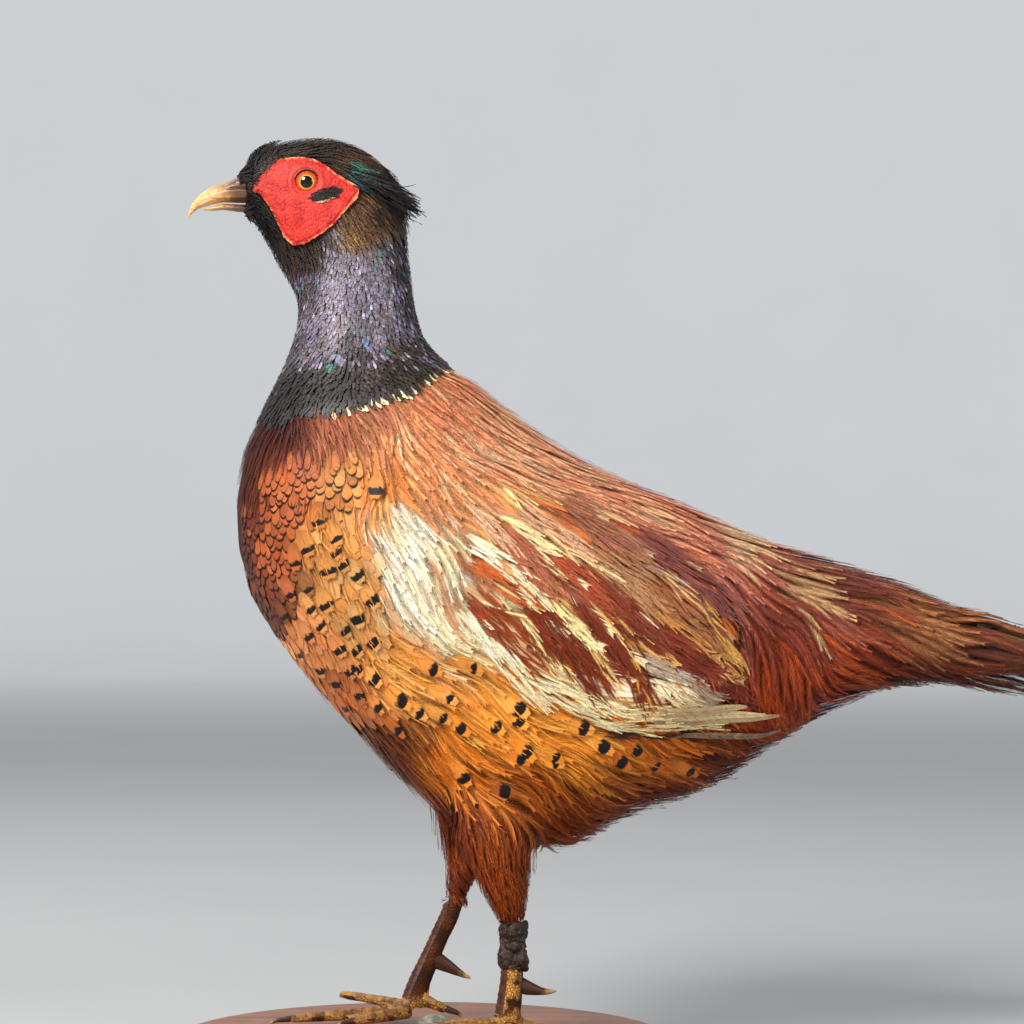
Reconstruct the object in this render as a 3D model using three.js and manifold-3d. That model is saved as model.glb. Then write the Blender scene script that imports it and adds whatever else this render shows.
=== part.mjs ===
// A life-size mounted cock ring-necked pheasant, standing on a round wooden base.
// Millimetres, +Z up. The origin is the centre of the base's underside. The bird faces -X.
// Shapes below are written in the bird's own frame: its middle plane is y = 0 and z = 0 is the base's top.
import * as THREE from "three";
import { mergeVertices } from "three/addons/utils/BufferGeometryUtils.js";
import Module from "manifold-3d";

const wasm = await Module();
wasm.setup();

// ---- Driving dimensions ----
const BASE_RADIUS = 131;
const BASE_HEIGHT = 20;
const BIRD_SETBACK = 22; // the bird stands this far behind the middle of its base
const GAP = 0.35; // kept between pieces that touch
const EYE_RADIUS = 7.5;
const WATTLE_THICKNESS = 1.1;
const WING_THICKNESS = 7;
const PRIMARY_THICKNESS = 2.8;
const TAIL_LENGTH = 372; // of the middle pair, past the coverts
const TAIL_PAIRS = 6;
const VANE_THICKNESS = 0.7;
const BODY_SIDES = 22;

const point = (x, y, z) => new THREE.Vector3(x, y, z);
const mix = (a, b, t) => a + (b - a) * t;
const smooth = (t) => t * t * (3 - 2 * t);

// ---- Materials ----
function finish(color, roughness, metalness = 0) {
  return new THREE.MeshStandardMaterial({ color, roughness, metalness });
}
const finishes = {
  wood: finish(0x8a5d48, 0.45),
  darkFeather: finish(0x4a4044, 0.6),
  coppery: finish(0xb0683c, 0.7),
  chestnut: finish(0x9a4a2c, 0.7),
  rufous: finish(0x8e4526, 0.8),
  tailBrown: finish(0x6e4b38, 0.7),
  quill: finish(0xcbb48c, 0.5),
  redSkin: finish(0xd8352c, 0.6),
  glassEye: finish(0xc8501c, 0.08),
  horn: finish(0xcaa066, 0.35),
  scale: finish(0x8c5a34, 0.5),
  resin: finish(0x2e2622, 0.8),
  putty: finish(0x6c6a60, 0.9),
};

// ---- Solids ----
function solidOf(geometry) {
  const bare = geometry.clone();
  bare.deleteAttribute("normal");
  bare.deleteAttribute("uv");
  const merged = mergeVertices(bare, 1e-4);
  const vertProperties = new Float32Array(merged.attributes.position.array);
  const triVerts = new Uint32Array(merged.index.array);
  const made = new wasm.Manifold(new wasm.Mesh({ numProp: 3, vertProperties, triVerts }));
  if (made.volume() > 0) return made;
  return new wasm.Manifold(new wasm.Mesh({ numProp: 3, vertProperties, triVerts: triVerts.reverse() }));
}

function geometryOf(solid) {
  const mesh = solid.getMesh();
  const places = new Float32Array(mesh.numVert * 3);
  for (let i = 0; i < mesh.numVert; i++) {
    places.set(mesh.vertProperties.subarray(i * mesh.numProp, i * mesh.numProp + 3), i * 3);
  }
  return new THREE.BufferGeometry()
    .setAttribute("position", new THREE.BufferAttribute(places, 3))
    .setIndex(new THREE.BufferAttribute(mesh.triVerts, 1));
}

// A closed solid through rings of points. A ring of one point is a tip.
// A blade's rings list one face and then the other; both faces are split along the same diagonals, so that
// a thin blade keeps its thickness where it twists.
function loft(rings, blade = false) {
  const places = [];
  const index = [];
  const starts = rings.map((ring) => {
    const start = places.length / 3;
    for (const p of ring) places.push(p.x, p.y, p.z);
    return start;
  });
  for (let i = 0; i + 1 < rings.length; i++) {
    const n = Math.max(rings[i].length, rings[i + 1].length);
    const near = (j) => starts[i] + (j % rings[i].length);
    const far = (j) => starts[i + 1] + (j % rings[i + 1].length);
    for (let j = 0; j < n; j++) {
      if (blade && j >= n / 2) {
        index.push(near(j), near(j + 1), far(j + 1), near(j), far(j + 1), far(j));
        continue;
      }
      if (rings[i].length > 1) index.push(near(j), near(j + 1), far(j));
      if (rings[i + 1].length > 1) index.push(near(j + 1), far(j + 1), far(j));
    }
  }
  for (const [at, turned] of [[0, true], [rings.length - 1, false]]) {
    const ring = rings[at];
    if (ring.length === 1) continue;
    const middle = places.length / 3;
    const centre = ring.reduce((sum, p) => sum.add(p), point(0, 0, 0)).divideScalar(ring.length);
    places.push(centre.x, centre.y, centre.z);
    for (let j = 0; j < ring.length; j++) {
      const a = starts[at] + j;
      const b = starts[at] + ((j + 1) % ring.length);
      index.push(...(turned ? [b, a, middle] : [a, b, middle]));
    }
  }
  const geometry = new THREE.BufferGeometry()
    .setAttribute("position", new THREE.BufferAttribute(new Float32Array(places), 3));
  return solidOf(geometry.setIndex(index));
}

// A limb follows a path of [x, y, z, radius along `across`, other radius], with a tip at its end if asked.
function limb(stations, { steps = 10, sides = 12, across = point(1, 0, 0), tip = false, grow = 0 } = {}) {
  const path = new THREE.CatmullRomCurve3(stations.map(([x, y, z]) => point(x, y, z)));
  const radii = new THREE.CatmullRomCurve3(stations.map(([, , , a, b = a]) => point(a, b, 0)));
  const rings = [];
  for (let i = 0; i <= steps; i++) {
    const t = i / steps;
    const at = path.getPoint(t);
    if (tip && i === steps) {
      rings.push([at]);
      break;
    }
    const along = path.getTangent(t);
    const a = across.clone().addScaledVector(along, -across.dot(along)).normalize();
    const b = along.clone().cross(a);
    const r = radii.getPoint(t);
    rings.push(Array.from({ length: sides }, (_, j) => {
      const angle = (j / sides) * 2 * Math.PI;
      return at.clone()
        .addScaledVector(a, (r.x + grow) * Math.cos(angle))
        .addScaledVector(b, (r.y + grow) * Math.sin(angle));
    }));
  }
  return loft(rings);
}

// ---- The body: one surface from the lores to the root of the tail ----
// Each station is a slice of the body: [x and z on the back's line, x and z on the belly's line, half width].
const STATIONS = {
  lores: [-95.5, 455, -92.5, 432.5, 7],
  forehead: [-90, 464, -87, 424, 10.5],
  crownFront: [-79.5, 469.5, -81.5, 415, 13.2],
  crown: [-63.5, 473, -76.5, 405, 15],
  crownBack: [-46.5, 473, -71.5, 397, 16],
  occiput: [-32, 468, -68, 390, 16.8],
  nape: [-19, 457.5, -66.5, 385, 18],
  neckTop: [-11, 442.5, -66, 379.5, 19.5],
  neckHigh: [-7.5, 421, -66.5, 373, 21.5],
  neckMiddle: [-5, 395, -69, 364, 24],
  neckLow: [0, 369.5, -74, 351, 29],
  neckBase: [12.5, 354.5, -82, 335, 38],
  shoulder: [27.5, 345.5, -93, 313, 49],
  breastTop: [45.5, 331, -100, 281, 59],
  breast: [66, 316.5, -96, 242, 65],
  breastLow: [89, 302, -81.5, 213, 67],
  back: [112.5, 291.5, -60.5, 185, 67],
  backMiddle: [133.5, 283.5, -34, 155, 66],
  bellyFront: [152, 275.5, -4, 122, 63],
  belly: [168.5, 268, 31, 97.5, 59],
  ventFront: [184, 262, 73, 94, 54],
  vent: [200.5, 257, 115.5, 115.5, 48],
  rump: [218.5, 251, 154, 128, 41],
  rumpLow: [236.5, 244.5, 185.5, 151, 35],
  coverts: [256, 238.5, 219, 170.5, 29.5],
  covertsEnd: [277, 228, 256, 183, 25],
  tailRoot: [298.5, 218.5, 289.5, 182, 22],
};
const stationNames = Object.keys(STATIONS);
const stationRows = Object.values(STATIONS);
const backLine = new THREE.CatmullRomCurve3(stationRows.map(([x, z]) => point(x, 0, z)));
const bellyLine = new THREE.CatmullRomCurve3(stationRows.map(([, , x, z]) => point(x, 0, z)));
const widths = new THREE.CatmullRomCurve3(stationRows.map(([, , , , w]) => point(w, 0, 0)));
const stationAt = (name) => stationNames.indexOf(name) / (stationNames.length - 1);
const between = (a, b, t) => mix(stationAt(a), stationAt(b), t);

// The body's parts, from bill to tail: where each ends, and how many slices it is made of.
const PARTS = {
  head: { end: between("nape", "neckTop", 0.5), slices: 12, material: finishes.darkFeather },
  neck: { end: between("neckBase", "shoulder", 0.5), slices: 7, material: finishes.darkFeather },
  trunk: { end: between("rump", "rumpLow", 0.3), slices: 15, material: finishes.coppery },
  rump: { end: 1, slices: 5, material: finishes.rufous },
};
const CUT = 0.02 / (stationNames.length - 1); // half the thin cut between two parts, in the curves' parameter
let from = 0;
for (const part of Object.values(PARTS)) {
  const first = from === 0 ? 0 : from + CUT;
  const last = part.end === 1 ? 1 : part.end - CUT;
  part.places = Array.from({ length: part.slices + 1 }, (_, i) => mix(first, last, i / part.slices));
  from = part.end;
}
const allPlaces = Object.values(PARTS).flatMap((part) => part.places);

// A ring of the body at t, pushed out by `proud`, which is a number or a function of the place.
function bodyRing(t, proud) {
  const top = backLine.getPoint(t);
  const bottom = bellyLine.getPoint(t);
  const middle = top.clone().add(bottom).multiplyScalar(0.5);
  const up = top.clone().sub(bottom).multiplyScalar(0.5);
  const height = up.length();
  const width = widths.getPoint(t).x;
  up.normalize();
  return Array.from({ length: BODY_SIDES }, (_, j) => {
    const angle = ((j + 0.5) / BODY_SIDES) * 2 * Math.PI;
    const rise = Math.cos(angle);
    const side = Math.sin(angle) * (1 - 0.1 * rise); // fullest a little below the middle
    const p = middle.clone().addScaledVector(up, height * rise).add(point(0, width * side, 0));
    const out = up.clone().multiplyScalar(rise / height).add(point(0, side / width, 0)).normalize();
    return p.addScaledVector(out, typeof proud === "number" ? proud : proud(p));
  });
}

function body(places, proud = 0) {
  return loft(places.map((t) => bodyRing(t, proud)));
}
const bodyBetween = (first, last, proud) => body(allPlaces.filter((t) => t >= first && t <= last), proud);
const roomForBody = body(allPlaces, GAP);
const largest = (solid) => solid.decompose().sort((a, b) => b.volume() - a.volume())[0];

// ---- Outlines on the body's side, in x and z ----
function outline(points, samples = 40) {
  return new THREE.SplineCurve([...points, points[0]].map(([x, z]) => new THREE.Vector2(x, z)))
    .getPoints(samples)
    .slice(0, -1);
}

function depthInside(loop, p) {
  let nearest = Infinity;
  let inside = false;
  for (let i = 0, j = loop.length - 1; i < loop.length; j = i++) {
    const a = loop[i];
    const b = loop[j];
    const dx = b.x - a.x;
    const dz = b.y - a.y;
    const t = THREE.MathUtils.clamp(((p.x - a.x) * dx + (p.z - a.y) * dz) / (dx * dx + dz * dz), 0, 1);
    nearest = Math.min(nearest, Math.hypot(p.x - a.x - t * dx, p.z - a.y - t * dz));
    if (a.y > p.z !== b.y > p.z && p.x < (dx * (p.z - a.y)) / dz + a.x) inside = !inside;
  }
  return inside ? nearest : 0;
}

// The outline swept sideways, from near to far in y, and grown by `grow` in x and z.
function slabOf(loop, near, far, grow = 0) {
  const clockwise = THREE.ShapeUtils.isClockWise(loop);
  const moved = loop.map((p, i) => {
    const before = loop[(i + loop.length - 1) % loop.length];
    const after = loop[(i + 1) % loop.length];
    const edge = after.clone().sub(before).normalize();
    const outward = new THREE.Vector2(edge.y, -edge.x).multiplyScalar(clockwise ? -grow : grow);
    return p.clone().add(outward);
  });
  const slab = new THREE.ExtrudeGeometry(new THREE.Shape(moved), { depth: far - near, bevelEnabled: false });
  slab.rotateX(Math.PI / 2); // the shape's y becomes z, and its depth runs along -y
  slab.translate(0, far, 0);
  return solidOf(slab);
}

const WING_OUTLINE = outline([
  [-9, 303], [-26, 288], [-27, 262], [-17, 228], [10, 203], [42, 186], [80, 171], [121, 161],
  [153, 169], [167, 187], [160, 228], [127, 256], [84, 281], [36, 301],
], 26);
const PRIMARY_OUTLINE = outline([
  [112, 170], [120, 158], [152, 150], [187, 152], [186, 160], [165, 186], [130, 190],
], 16);
const WATTLE_OUTLINE = outline([
  [-82.5, 454], [-79, 460], [-73, 461.5], [-62, 462], [-53, 459.5], [-45, 453], [-31, 444], [-37, 436],
  [-46, 425], [-57, 417.5], [-66, 414], [-73, 419.5], [-78, 431], [-84, 440.5], [-89.5, 444.5], [-87.5, 449],
], 22);
const sides = { left: -1, right: 1 }; // the bird faces -X, so its left side is -Y
const REACH = 140; // further out sideways than any part of the bird
const mirrored = (solid, side) => (side > 0 ? solid : solid.mirror([0, 1, 0]));

// A pillow-edged shell on the right side of the body, inside an outline.
function shellOf(loop, thickness, first, last, rise = 0.45) {
  const proud = (p) => Math.min(thickness, GAP + 0.45 + rise * depthInside(loop, p));
  const outer = bodyBetween(stationAt(first), stationAt(last), proud);
  return largest(outer.intersect(slabOf(loop, 2, REACH)).subtract(roomForBody));
}

const group = new THREE.Group();
const bird = new THREE.Group();
bird.position.set(0, BIRD_SETBACK, BASE_HEIGHT);
group.add(bird);

function add(parent, name, solid, material) {
  const mesh = new THREE.Mesh(geometryOf(solid), material);
  mesh.name = name;
  parent.add(mesh);
  return solid;
}

// ---- Base: a turned disc with a rounded top edge and a bead round its foot ----
const ROUND = 4;
const baseProfile = [[0, 0], [BASE_RADIUS, 0], [BASE_RADIUS, 5], [BASE_RADIUS - 2.5, 7]];
for (let i = 0; i <= 2; i++) {
  const angle = (i / 2) * (Math.PI / 2);
  baseProfile.push([
    BASE_RADIUS - 2.5 - ROUND + ROUND * Math.cos(angle),
    BASE_HEIGHT - ROUND + ROUND * Math.sin(angle),
  ]);
}
baseProfile.push([0, BASE_HEIGHT]);
const baseTurned = new THREE.LatheGeometry(baseProfile.map(([r, h]) => new THREE.Vector2(r, h)), 42);
add(group, "stand_base", solidOf(baseTurned.rotateX(Math.PI / 2)), finishes.wood);

// ---- Eyes, set in sockets, and the tufts of longer feathers behind the ears ----
const EAR_TUFT = [[-34, 12.5, 452, 3, 5], [-22, 14.5, 447, 4, 6], [-8, 14.5, 439, 3, 4.5], [4, 13, 432, 1]];
const EYE_CENTRE = point(-60.3, 9.6, 449.8);
const eyeball = (grow) => {
  const ball = new THREE.IcosahedronGeometry(EYE_RADIUS + grow, 2);
  return solidOf(ball.translate(EYE_CENTRE.x, EYE_CENTRE.y, EYE_CENTRE.z));
};

// ---- Head, neck, trunk and rump: the body's surface, parted by thin cuts ----
for (const [name, part] of Object.entries(PARTS)) {
  let made = body(part.places);
  if (name === "head") made = made.subtract(eyeball(GAP)).subtract(mirrored(eyeball(GAP), -1));
  add(bird, name, made, part.material);
}

for (const [name, side] of Object.entries(sides)) {
  add(bird, `eye_${name}`, mirrored(eyeball(0), side), finishes.glassEye);
  const wattle = shellOf(WATTLE_OUTLINE, WATTLE_THICKNESS, "lores", "neckTop", 0.6).subtract(eyeball(GAP));
  add(bird, `wattle_${name}`, mirrored(wattle, side), finishes.redSkin);
  const tuft = limb(EAR_TUFT, { steps: 5, sides: 7, across: point(0, 1, 0), tip: true });
  const clear = tuft.subtract(roomForBody).subtract(slabOf(WATTLE_OUTLINE, 0, REACH, GAP));
  add(bird, `ear_tuft_${name}`, mirrored(largest(clear), side), finishes.darkFeather);
}

// ---- Bill: an upper half that hooks over the lower one ----
const BILL_SIDES = 10;

function billHalf(slices, tip) {
  const rings = slices.map(([topX, topZ, lowX, lowZ, half]) => {
    const middle = point((topX + lowX) / 2, 0, (topZ + lowZ) / 2);
    const up = point(topX - lowX, 0, topZ - lowZ).multiplyScalar(0.5);
    return Array.from({ length: BILL_SIDES }, (_, j) => {
      const angle = ((j + 0.5) / BILL_SIDES) * 2 * Math.PI;
      const fullness = 1 - 0.25 * Math.cos(angle); // narrow along the ridge, wide at the cutting edge
      const aside = point(0, half * Math.sin(angle) * fullness, 0);
      return middle.clone().addScaledVector(up, Math.cos(angle)).add(aside);
    });
  });
  return loft([...rings, [tip]]);
}
const upperBill = billHalf([
  [-96.2, 453.4, -93.8, 437.8, 6.4], [-100, 451, -99.5, 438.2, 6], [-104, 449.2, -105.5, 438.5, 5.4],
  [-110.8, 447.6, -111.5, 437.4, 4.6], [-115, 445, -116, 436, 3.7], [-119, 441.8, -119, 434.9, 2.8],
  [-122.2, 437.8, -121.2, 433.3, 1.9], [-123.9, 433.6, -123, 431.4, 1],
], point(-124.7, 0, 429.3));
const lowerBill = billHalf([
  [-93.4, 437.3, -93, 432.7, 5.6], [-99.5, 437.8, -99.2, 433.8, 5], [-105.5, 438, -105, 434.6, 4.2],
  [-111.5, 436.8, -111.3, 434.1, 3],
], point(-117.3, 0, 434.7));
add(bird, "bill_upper", upperBill, finishes.horn);
add(bird, "bill_lower", lowerBill, finishes.horn);

// ---- Folded wings, and the tips of their flight feathers ----
for (const [name, side] of Object.entries(sides)) {
  const wing = shellOf(WING_OUTLINE, WING_THICKNESS, "neckBase", "rumpLow");
  add(bird, `wing_${name}`, mirrored(wing, side), finishes.chestnut);
  const primaries = shellOf(PRIMARY_OUTLINE, PRIMARY_THICKNESS, "bellyFront", "coverts")
    .subtract(slabOf(WING_OUTLINE, 0, REACH, 0.5));
  add(bird, `primaries_${name}`, mirrored(largest(primaries), side), finishes.quill);
}

// ---- Tail: a roof of long blades, the middle pair on top ----
const TAIL_DROP = Math.tan(THREE.MathUtils.degToRad(14.4));
const TAIL_SAG = 6;
const tailRidge = (run) => point(299.3 + run, 0, 218 - TAIL_DROP * run - TAIL_SAG * (run / TAIL_LENGTH) ** 2);
const TAIL_SHARES = [1, 0.92, 0.76, 0.6, 0.46, 0.34]; // each pair's length over the middle pair's
const LAYER = 1.1; // from one blade down to the next
const ROOT_SLANT = 0.23;
const ROOF_STEEP = THREE.MathUtils.degToRad(56);
const ROOF_FLAT = THREE.MathUtils.degToRad(24);
const BLADE_STEP = TAIL_LENGTH / 9; // all blades are sliced at the same places, so their faces stay parallel

function tailBlade(pair) {
  const length = TAIL_LENGTH * TAIL_SHARES[pair];
  const start = pair * LAYER;
  const breadth = mix(34, 30, pair / (TAIL_PAIRS - 1));
  const slices = Array.from({ length: Math.ceil(length / BLADE_STEP) }, (_, i) => i * BLADE_STEP);
  const rings = [...slices, length].map((run, i) => {
    const along = run / length;
    const ridge = tailRidge(run);
    const slope = mix(ROOF_STEEP, ROOF_FLAT, smooth(Math.min(1, run / TAIL_LENGTH)));
    const taper = mix(1, 0.14, Math.max(0, (along - 0.45) / 0.55) ** 1.5);
    const down = point(0, Math.cos(slope), -Math.sin(slope));
    const inward = point(0, -Math.sin(slope), -Math.cos(slope));
    const edge = (out, depth) => ridge.clone().addScaledVector(down, out).addScaledVector(inward, depth);
    const inner = (0.25 + (start + VANE_THICKNESS) * Math.sin(slope)) / Math.cos(slope); // clears its twin
    const wide = breadth * taper;
    const ring = [
      edge(inner, start),
      edge(inner + wide, start),
      edge(inner + wide, start + VANE_THICKNESS),
      edge(inner, start + VANE_THICKNESS),
    ];
    if (i === 0) for (const p of ring) p.x -= ROOT_SLANT * (218 - p.z); // to lie along the rump's end
    return ring;
  });
  return loft(rings, true);
}
for (const [name, side] of Object.entries(sides)) {
  for (let pair = 0; pair < TAIL_PAIRS; pair++) {
    add(bird, `tail_${name}_${pair + 1}`, mirrored(tailBlade(pair), side), finishes.tailBrown);
  }
}

// ---- Legs ----
const FORE_AND_AFT = point(1, 0, 0);
const UPWARD = point(0, 0, 1);
const LEGS = {
  right: {
    thigh: [
      [22, 27, 146, 24, 12], [23, 31, 118, 24, 18], [23, 31, 94, 13.5, 13.5], [20, 28.5, 80, 9, 9.5],
      [16.8, 27, 69, 6.6, 6.6],
    ],
    shank: [
      [21, 28, 84, 5.2, 5], [16, 26.8, 62, 5.4, 5], [8.2, 25.8, 45, 5.2, 4.6], [3.4, 25.3, 34, 5.6, 4.6],
      [-1.6, 24.6, 23, 6.1, 4.9], [-6.5, 24, 9.5, 6.6, 6],
    ],
    spur: [
      [5, 25.3, 34.5, 5.2, 3.8], [11.5, 25, 31.5, 4.4, 3], [17, 24.8, 28.2, 2.7, 2.2],
      [22.5, 24.6, 25.3, 1.5, 1.4], [27, 24.5, 23.5, 0.4],
    ],
    toes: {
      middle: [
        [-8, 23.5, 6.4, 4.4, 4.2], [-27, 20, 5.9, 3.7, 3.6], [-50, 16.5, 4.9, 3.3, 3.2],
        [-71, 13.5, 3.5, 2.5, 2.5],
      ],
      inner: [[-7, 20.5, 6.2, 4, 3.8], [-22, 10.5, 5.4, 3.5, 3.4], [-37, 4.5, 3.4, 2.6, 2.5]],
      outer: [[-8, 27, 8, 4, 3.8], [-26, 41, 10, 3.1, 3], [-46, 52, 11.5, 2.4, 2.4]],
      hind: [[-1, 22, 13, 3.8, 3.4], [6, 20.5, 10.5, 3.3, 3], [12.5, 19.5, 7.6, 2.7, 2.6]],
    },
    claws: { middle: [-83, 12, 0.8], inner: [-46.5, 1, 0.8], hind: [23, 18, 2.2] }, // the outer one is lost
  },
  left: {
    thigh: [
      [38, -27, 146, 26, 12], [40, -31.5, 116, 27, 18], [42, -31, 91, 17, 15.5], [45, -29, 75, 12.5, 12],
      [47.8, -28, 62, 7.8, 7.8],
    ],
    shank: [
      [50, -27.5, 80, 5.6, 5.2], [48.5, -28, 66, 5.6, 5.2], [48, -28.5, 48, 5.6, 5],
      [47.9, -29, 34, 6.2, 5.2],
      [46.3, -29.6, 18, 6.8, 5.6], [44.8, -30, 8.5, 7.2, 6],
    ],
    spur: [
      [48, -28.5, 28.5, 5.6, 4], [54.5, -28.2, 26.6, 4.8, 3.2], [60.5, -28, 24.6, 2.7, 2.3],
      [66.5, -27.8, 23.8, 1.6, 1.4], [73, -27.6, 24.6, 0.4],
    ],
    toes: {
      middle: [
        [42, -30, 6.4, 4.4, 4.2], [22, -32.5, 5.9, 3.7, 3.6], [-2, -35.5, 4.9, 3.3, 3.2],
        [-22, -38, 3.5, 2.5, 2.5],
      ],
      inner: [[42.5, -26.5, 6.2, 4, 3.8], [27, -15.5, 5.4, 3.5, 3.4], [11.5, -8, 3.4, 2.6, 2.5]],
      outer: [[42.5, -34, 6.2, 4, 3.8], [26, -46, 5.4, 3.4, 3.3], [9, -56, 3.4, 2.6, 2.5]],
      hind: [[49.5, -30, 8, 3.6, 3.4], [60, -29, 5.6, 3, 2.9], [67.5, -28.5, 4, 2.4, 2.3]],
    },
    claws: {
      middle: [-34, -39.5, 0.8], inner: [2.5, -4, 0.8], outer: [-0.5, -61, 0.8], hind: [75, -28, 1.4],
    },
  },
};

// A claw leaves its toe's end, arches over and comes down to its point.
function clawSolid(toe, tip) {
  const [x, y, z, a] = toe[toe.length - 1];
  const [bx, by] = toe[toe.length - 2];
  const forward = point(x - bx, y - by, 0).normalize();
  const start = [x + forward.x * (GAP + 0.1), y + forward.y * (GAP + 0.1), z];
  const arch = [mix(start[0], tip[0], 0.55), mix(start[1], tip[1], 0.55), mix(z, tip[2], 0.35) + 0.7];
  return limb([[...start, a * 0.86, a * 0.7], [...arch, a * 0.58, a * 0.44], [...tip, 0.4, 0.3]], {
    steps: 4, sides: 6, across: UPWARD, tip: true,
  });
}

const legSolids = {};
for (const [name, leg] of Object.entries(LEGS)) {
  const shank = limb(leg.shank, { steps: 8, sides: 10, across: FORE_AND_AFT });
  const aroundShank = limb(leg.shank, { steps: 8, sides: 10, across: FORE_AND_AFT, grow: GAP });
  const thigh = limb(leg.thigh, { steps: 6, sides: 11, across: FORE_AND_AFT });
  const opened = thigh.subtract(roomForBody).subtract(aroundShank);
  add(bird, `thigh_${name}`, largest(opened), finishes.rufous);
  add(bird, `shank_${name}`, shank, finishes.scale);
  const spur = limb(leg.spur, { steps: 5, sides: 8, across: UPWARD, tip: true }).subtract(aroundShank);
  add(bird, `spur_${name}`, largest(spur), finishes.scale);
  const around = [aroundShank];
  for (const [toeName, toe] of Object.entries(leg.toes)) {
    let made = limb(toe, { steps: 5, sides: 7, across: UPWARD });
    for (const other of around) made = made.subtract(other);
    made = largest(made);
    around.push(limb(toe, { steps: 5, sides: 7, across: UPWARD, grow: GAP }));
    add(bird, `toe_${name}_${toeName}`, made, finishes.scale);
    const tip = leg.claws[toeName];
    if (tip) add(bird, `claw_${name}_${toeName}`, clawSolid(toe, tip), finishes.horn);
  }
  legSolids[name] = around;
}

// ---- Repairs of the old mount: resin round the left shank, and putty under the right foot ----
const resin = limb(
  [
    [48.3, -28, 61, 6.9, 6.4], [47.8, -28.3, 55, 7.9, 7.2], [48.4, -28.5, 47, 6.9, 6.3],
    [47.9, -28.9, 40, 7.7, 6.9], [47.9, -29, 36, 7.1, 6.2],
  ],
  { steps: 5, sides: 9, across: FORE_AND_AFT },
).subtract(legSolids.left[0]);
const aroundThigh = limb(LEGS.left.thigh, { steps: 6, sides: 11, across: FORE_AND_AFT, grow: GAP });
add(bird, "resin_left_shank", largest(resin.subtract(aroundThigh)), finishes.resin);
const PUTTY_RADIUS = 8;
const puttyProfile = [
  [0, 0.3], [PUTTY_RADIUS, 0.3], [PUTTY_RADIUS * 0.9, 2.4], [PUTTY_RADIUS * 0.55, 4.6], [0, 5.4],
];
const dome = new THREE.LatheGeometry(puttyProfile.map(([r, h]) => new THREE.Vector2(r, h)), 14);
let putty = solidOf(dome.rotateX(Math.PI / 2).scale(1.15, 0.8, 1).translate(6, 20.5, 0));
for (const other of legSolids.right) putty = putty.subtract(other);
add(bird, "putty_right_foot", largest(putty), finishes.putty);

export default group;
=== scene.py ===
# %% [markdown]
# # A mounted cock pheasant
# The bird stands on a round wooden base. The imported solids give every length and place, and this lesson gives
# them their looks: one skin, a coat of modelled feathers, glass eyes, a granular red face and scaled legs.

# %% Load the frame
import math
import bpy
import numpy as np
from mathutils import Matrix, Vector, noise
from mathutils.bvhtree import BVHTree


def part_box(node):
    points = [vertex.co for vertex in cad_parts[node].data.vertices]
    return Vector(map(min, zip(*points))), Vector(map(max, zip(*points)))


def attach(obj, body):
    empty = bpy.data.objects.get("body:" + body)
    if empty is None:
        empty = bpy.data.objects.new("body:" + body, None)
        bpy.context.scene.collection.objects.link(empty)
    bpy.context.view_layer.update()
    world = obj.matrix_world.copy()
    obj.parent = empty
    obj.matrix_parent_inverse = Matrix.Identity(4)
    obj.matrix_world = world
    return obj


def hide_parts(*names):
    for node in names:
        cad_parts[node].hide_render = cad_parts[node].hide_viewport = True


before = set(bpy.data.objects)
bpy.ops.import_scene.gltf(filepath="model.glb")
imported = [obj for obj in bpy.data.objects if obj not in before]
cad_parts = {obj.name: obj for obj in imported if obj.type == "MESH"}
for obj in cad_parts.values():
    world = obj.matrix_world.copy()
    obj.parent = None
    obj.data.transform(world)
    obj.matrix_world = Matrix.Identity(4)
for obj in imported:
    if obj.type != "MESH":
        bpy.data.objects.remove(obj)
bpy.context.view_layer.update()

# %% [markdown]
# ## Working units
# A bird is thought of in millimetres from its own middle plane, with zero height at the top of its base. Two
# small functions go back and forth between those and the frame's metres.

MM = 0.001
SIDES = {"left": -1, "right": 1}
trunk_low, trunk_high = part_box("trunk")
base_low, base_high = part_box("stand_base")
ORIGIN = np.array([0, (trunk_low.y + trunk_high.y) / 2, base_high.z])
rng = np.random.default_rng(1871)


def to_frame(points):
    return np.asarray(points, float) * MM + ORIGIN


def to_bird(points):
    return (np.asarray(points, float) - ORIGIN) / MM


def srgb(text):
    """A colour as a painter would pick it, such as 'c0703a', in linear light."""
    parts = np.array([int(text[i:i + 2], 16) for i in (0, 2, 4)]) / 255
    return np.where(parts <= 0.04045, parts / 12.92, ((parts + 0.055) / 1.055) ** 2.4)


def unit(vectors):
    return vectors / np.maximum(np.linalg.norm(vectors, axis=-1, keepdims=True), 1e-9)


def mix(a, b, t):
    return a + (b - a) * t


print("middle plane and base top, mm:", np.round(ORIGIN / MM, 1))

# %% [markdown]
# ## Small tools for modelling
# An operator acts on everything that is selected, so each step first selects just its own piece. Modifiers
# are applied at once, so that every finished piece is plain mesh.

# %% Selection, copies and modifiers


def show(piece):
    bpy.context.scene.collection.objects.link(piece)


def only(piece):
    bpy.ops.object.select_all(action="DESELECT")
    piece.select_set(True)
    bpy.context.view_layer.objects.active = piece


def edit(piece, *steps):
    """Runs edit-mode operators on the whole of one piece."""
    only(piece)
    bpy.ops.object.mode_set(mode="EDIT")
    bpy.ops.mesh.select_all(action="SELECT")
    for step in steps:
        step()
    bpy.ops.object.mode_set(mode="OBJECT")


def modify(piece, kind, **settings):
    only(piece)
    bpy.ops.object.modifier_add(type=kind)
    modifier = piece.modifiers[-1]
    for key, value in settings.items():
        setattr(modifier, key, value)
    bpy.ops.object.modifier_apply(modifier=modifier.name)


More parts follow.
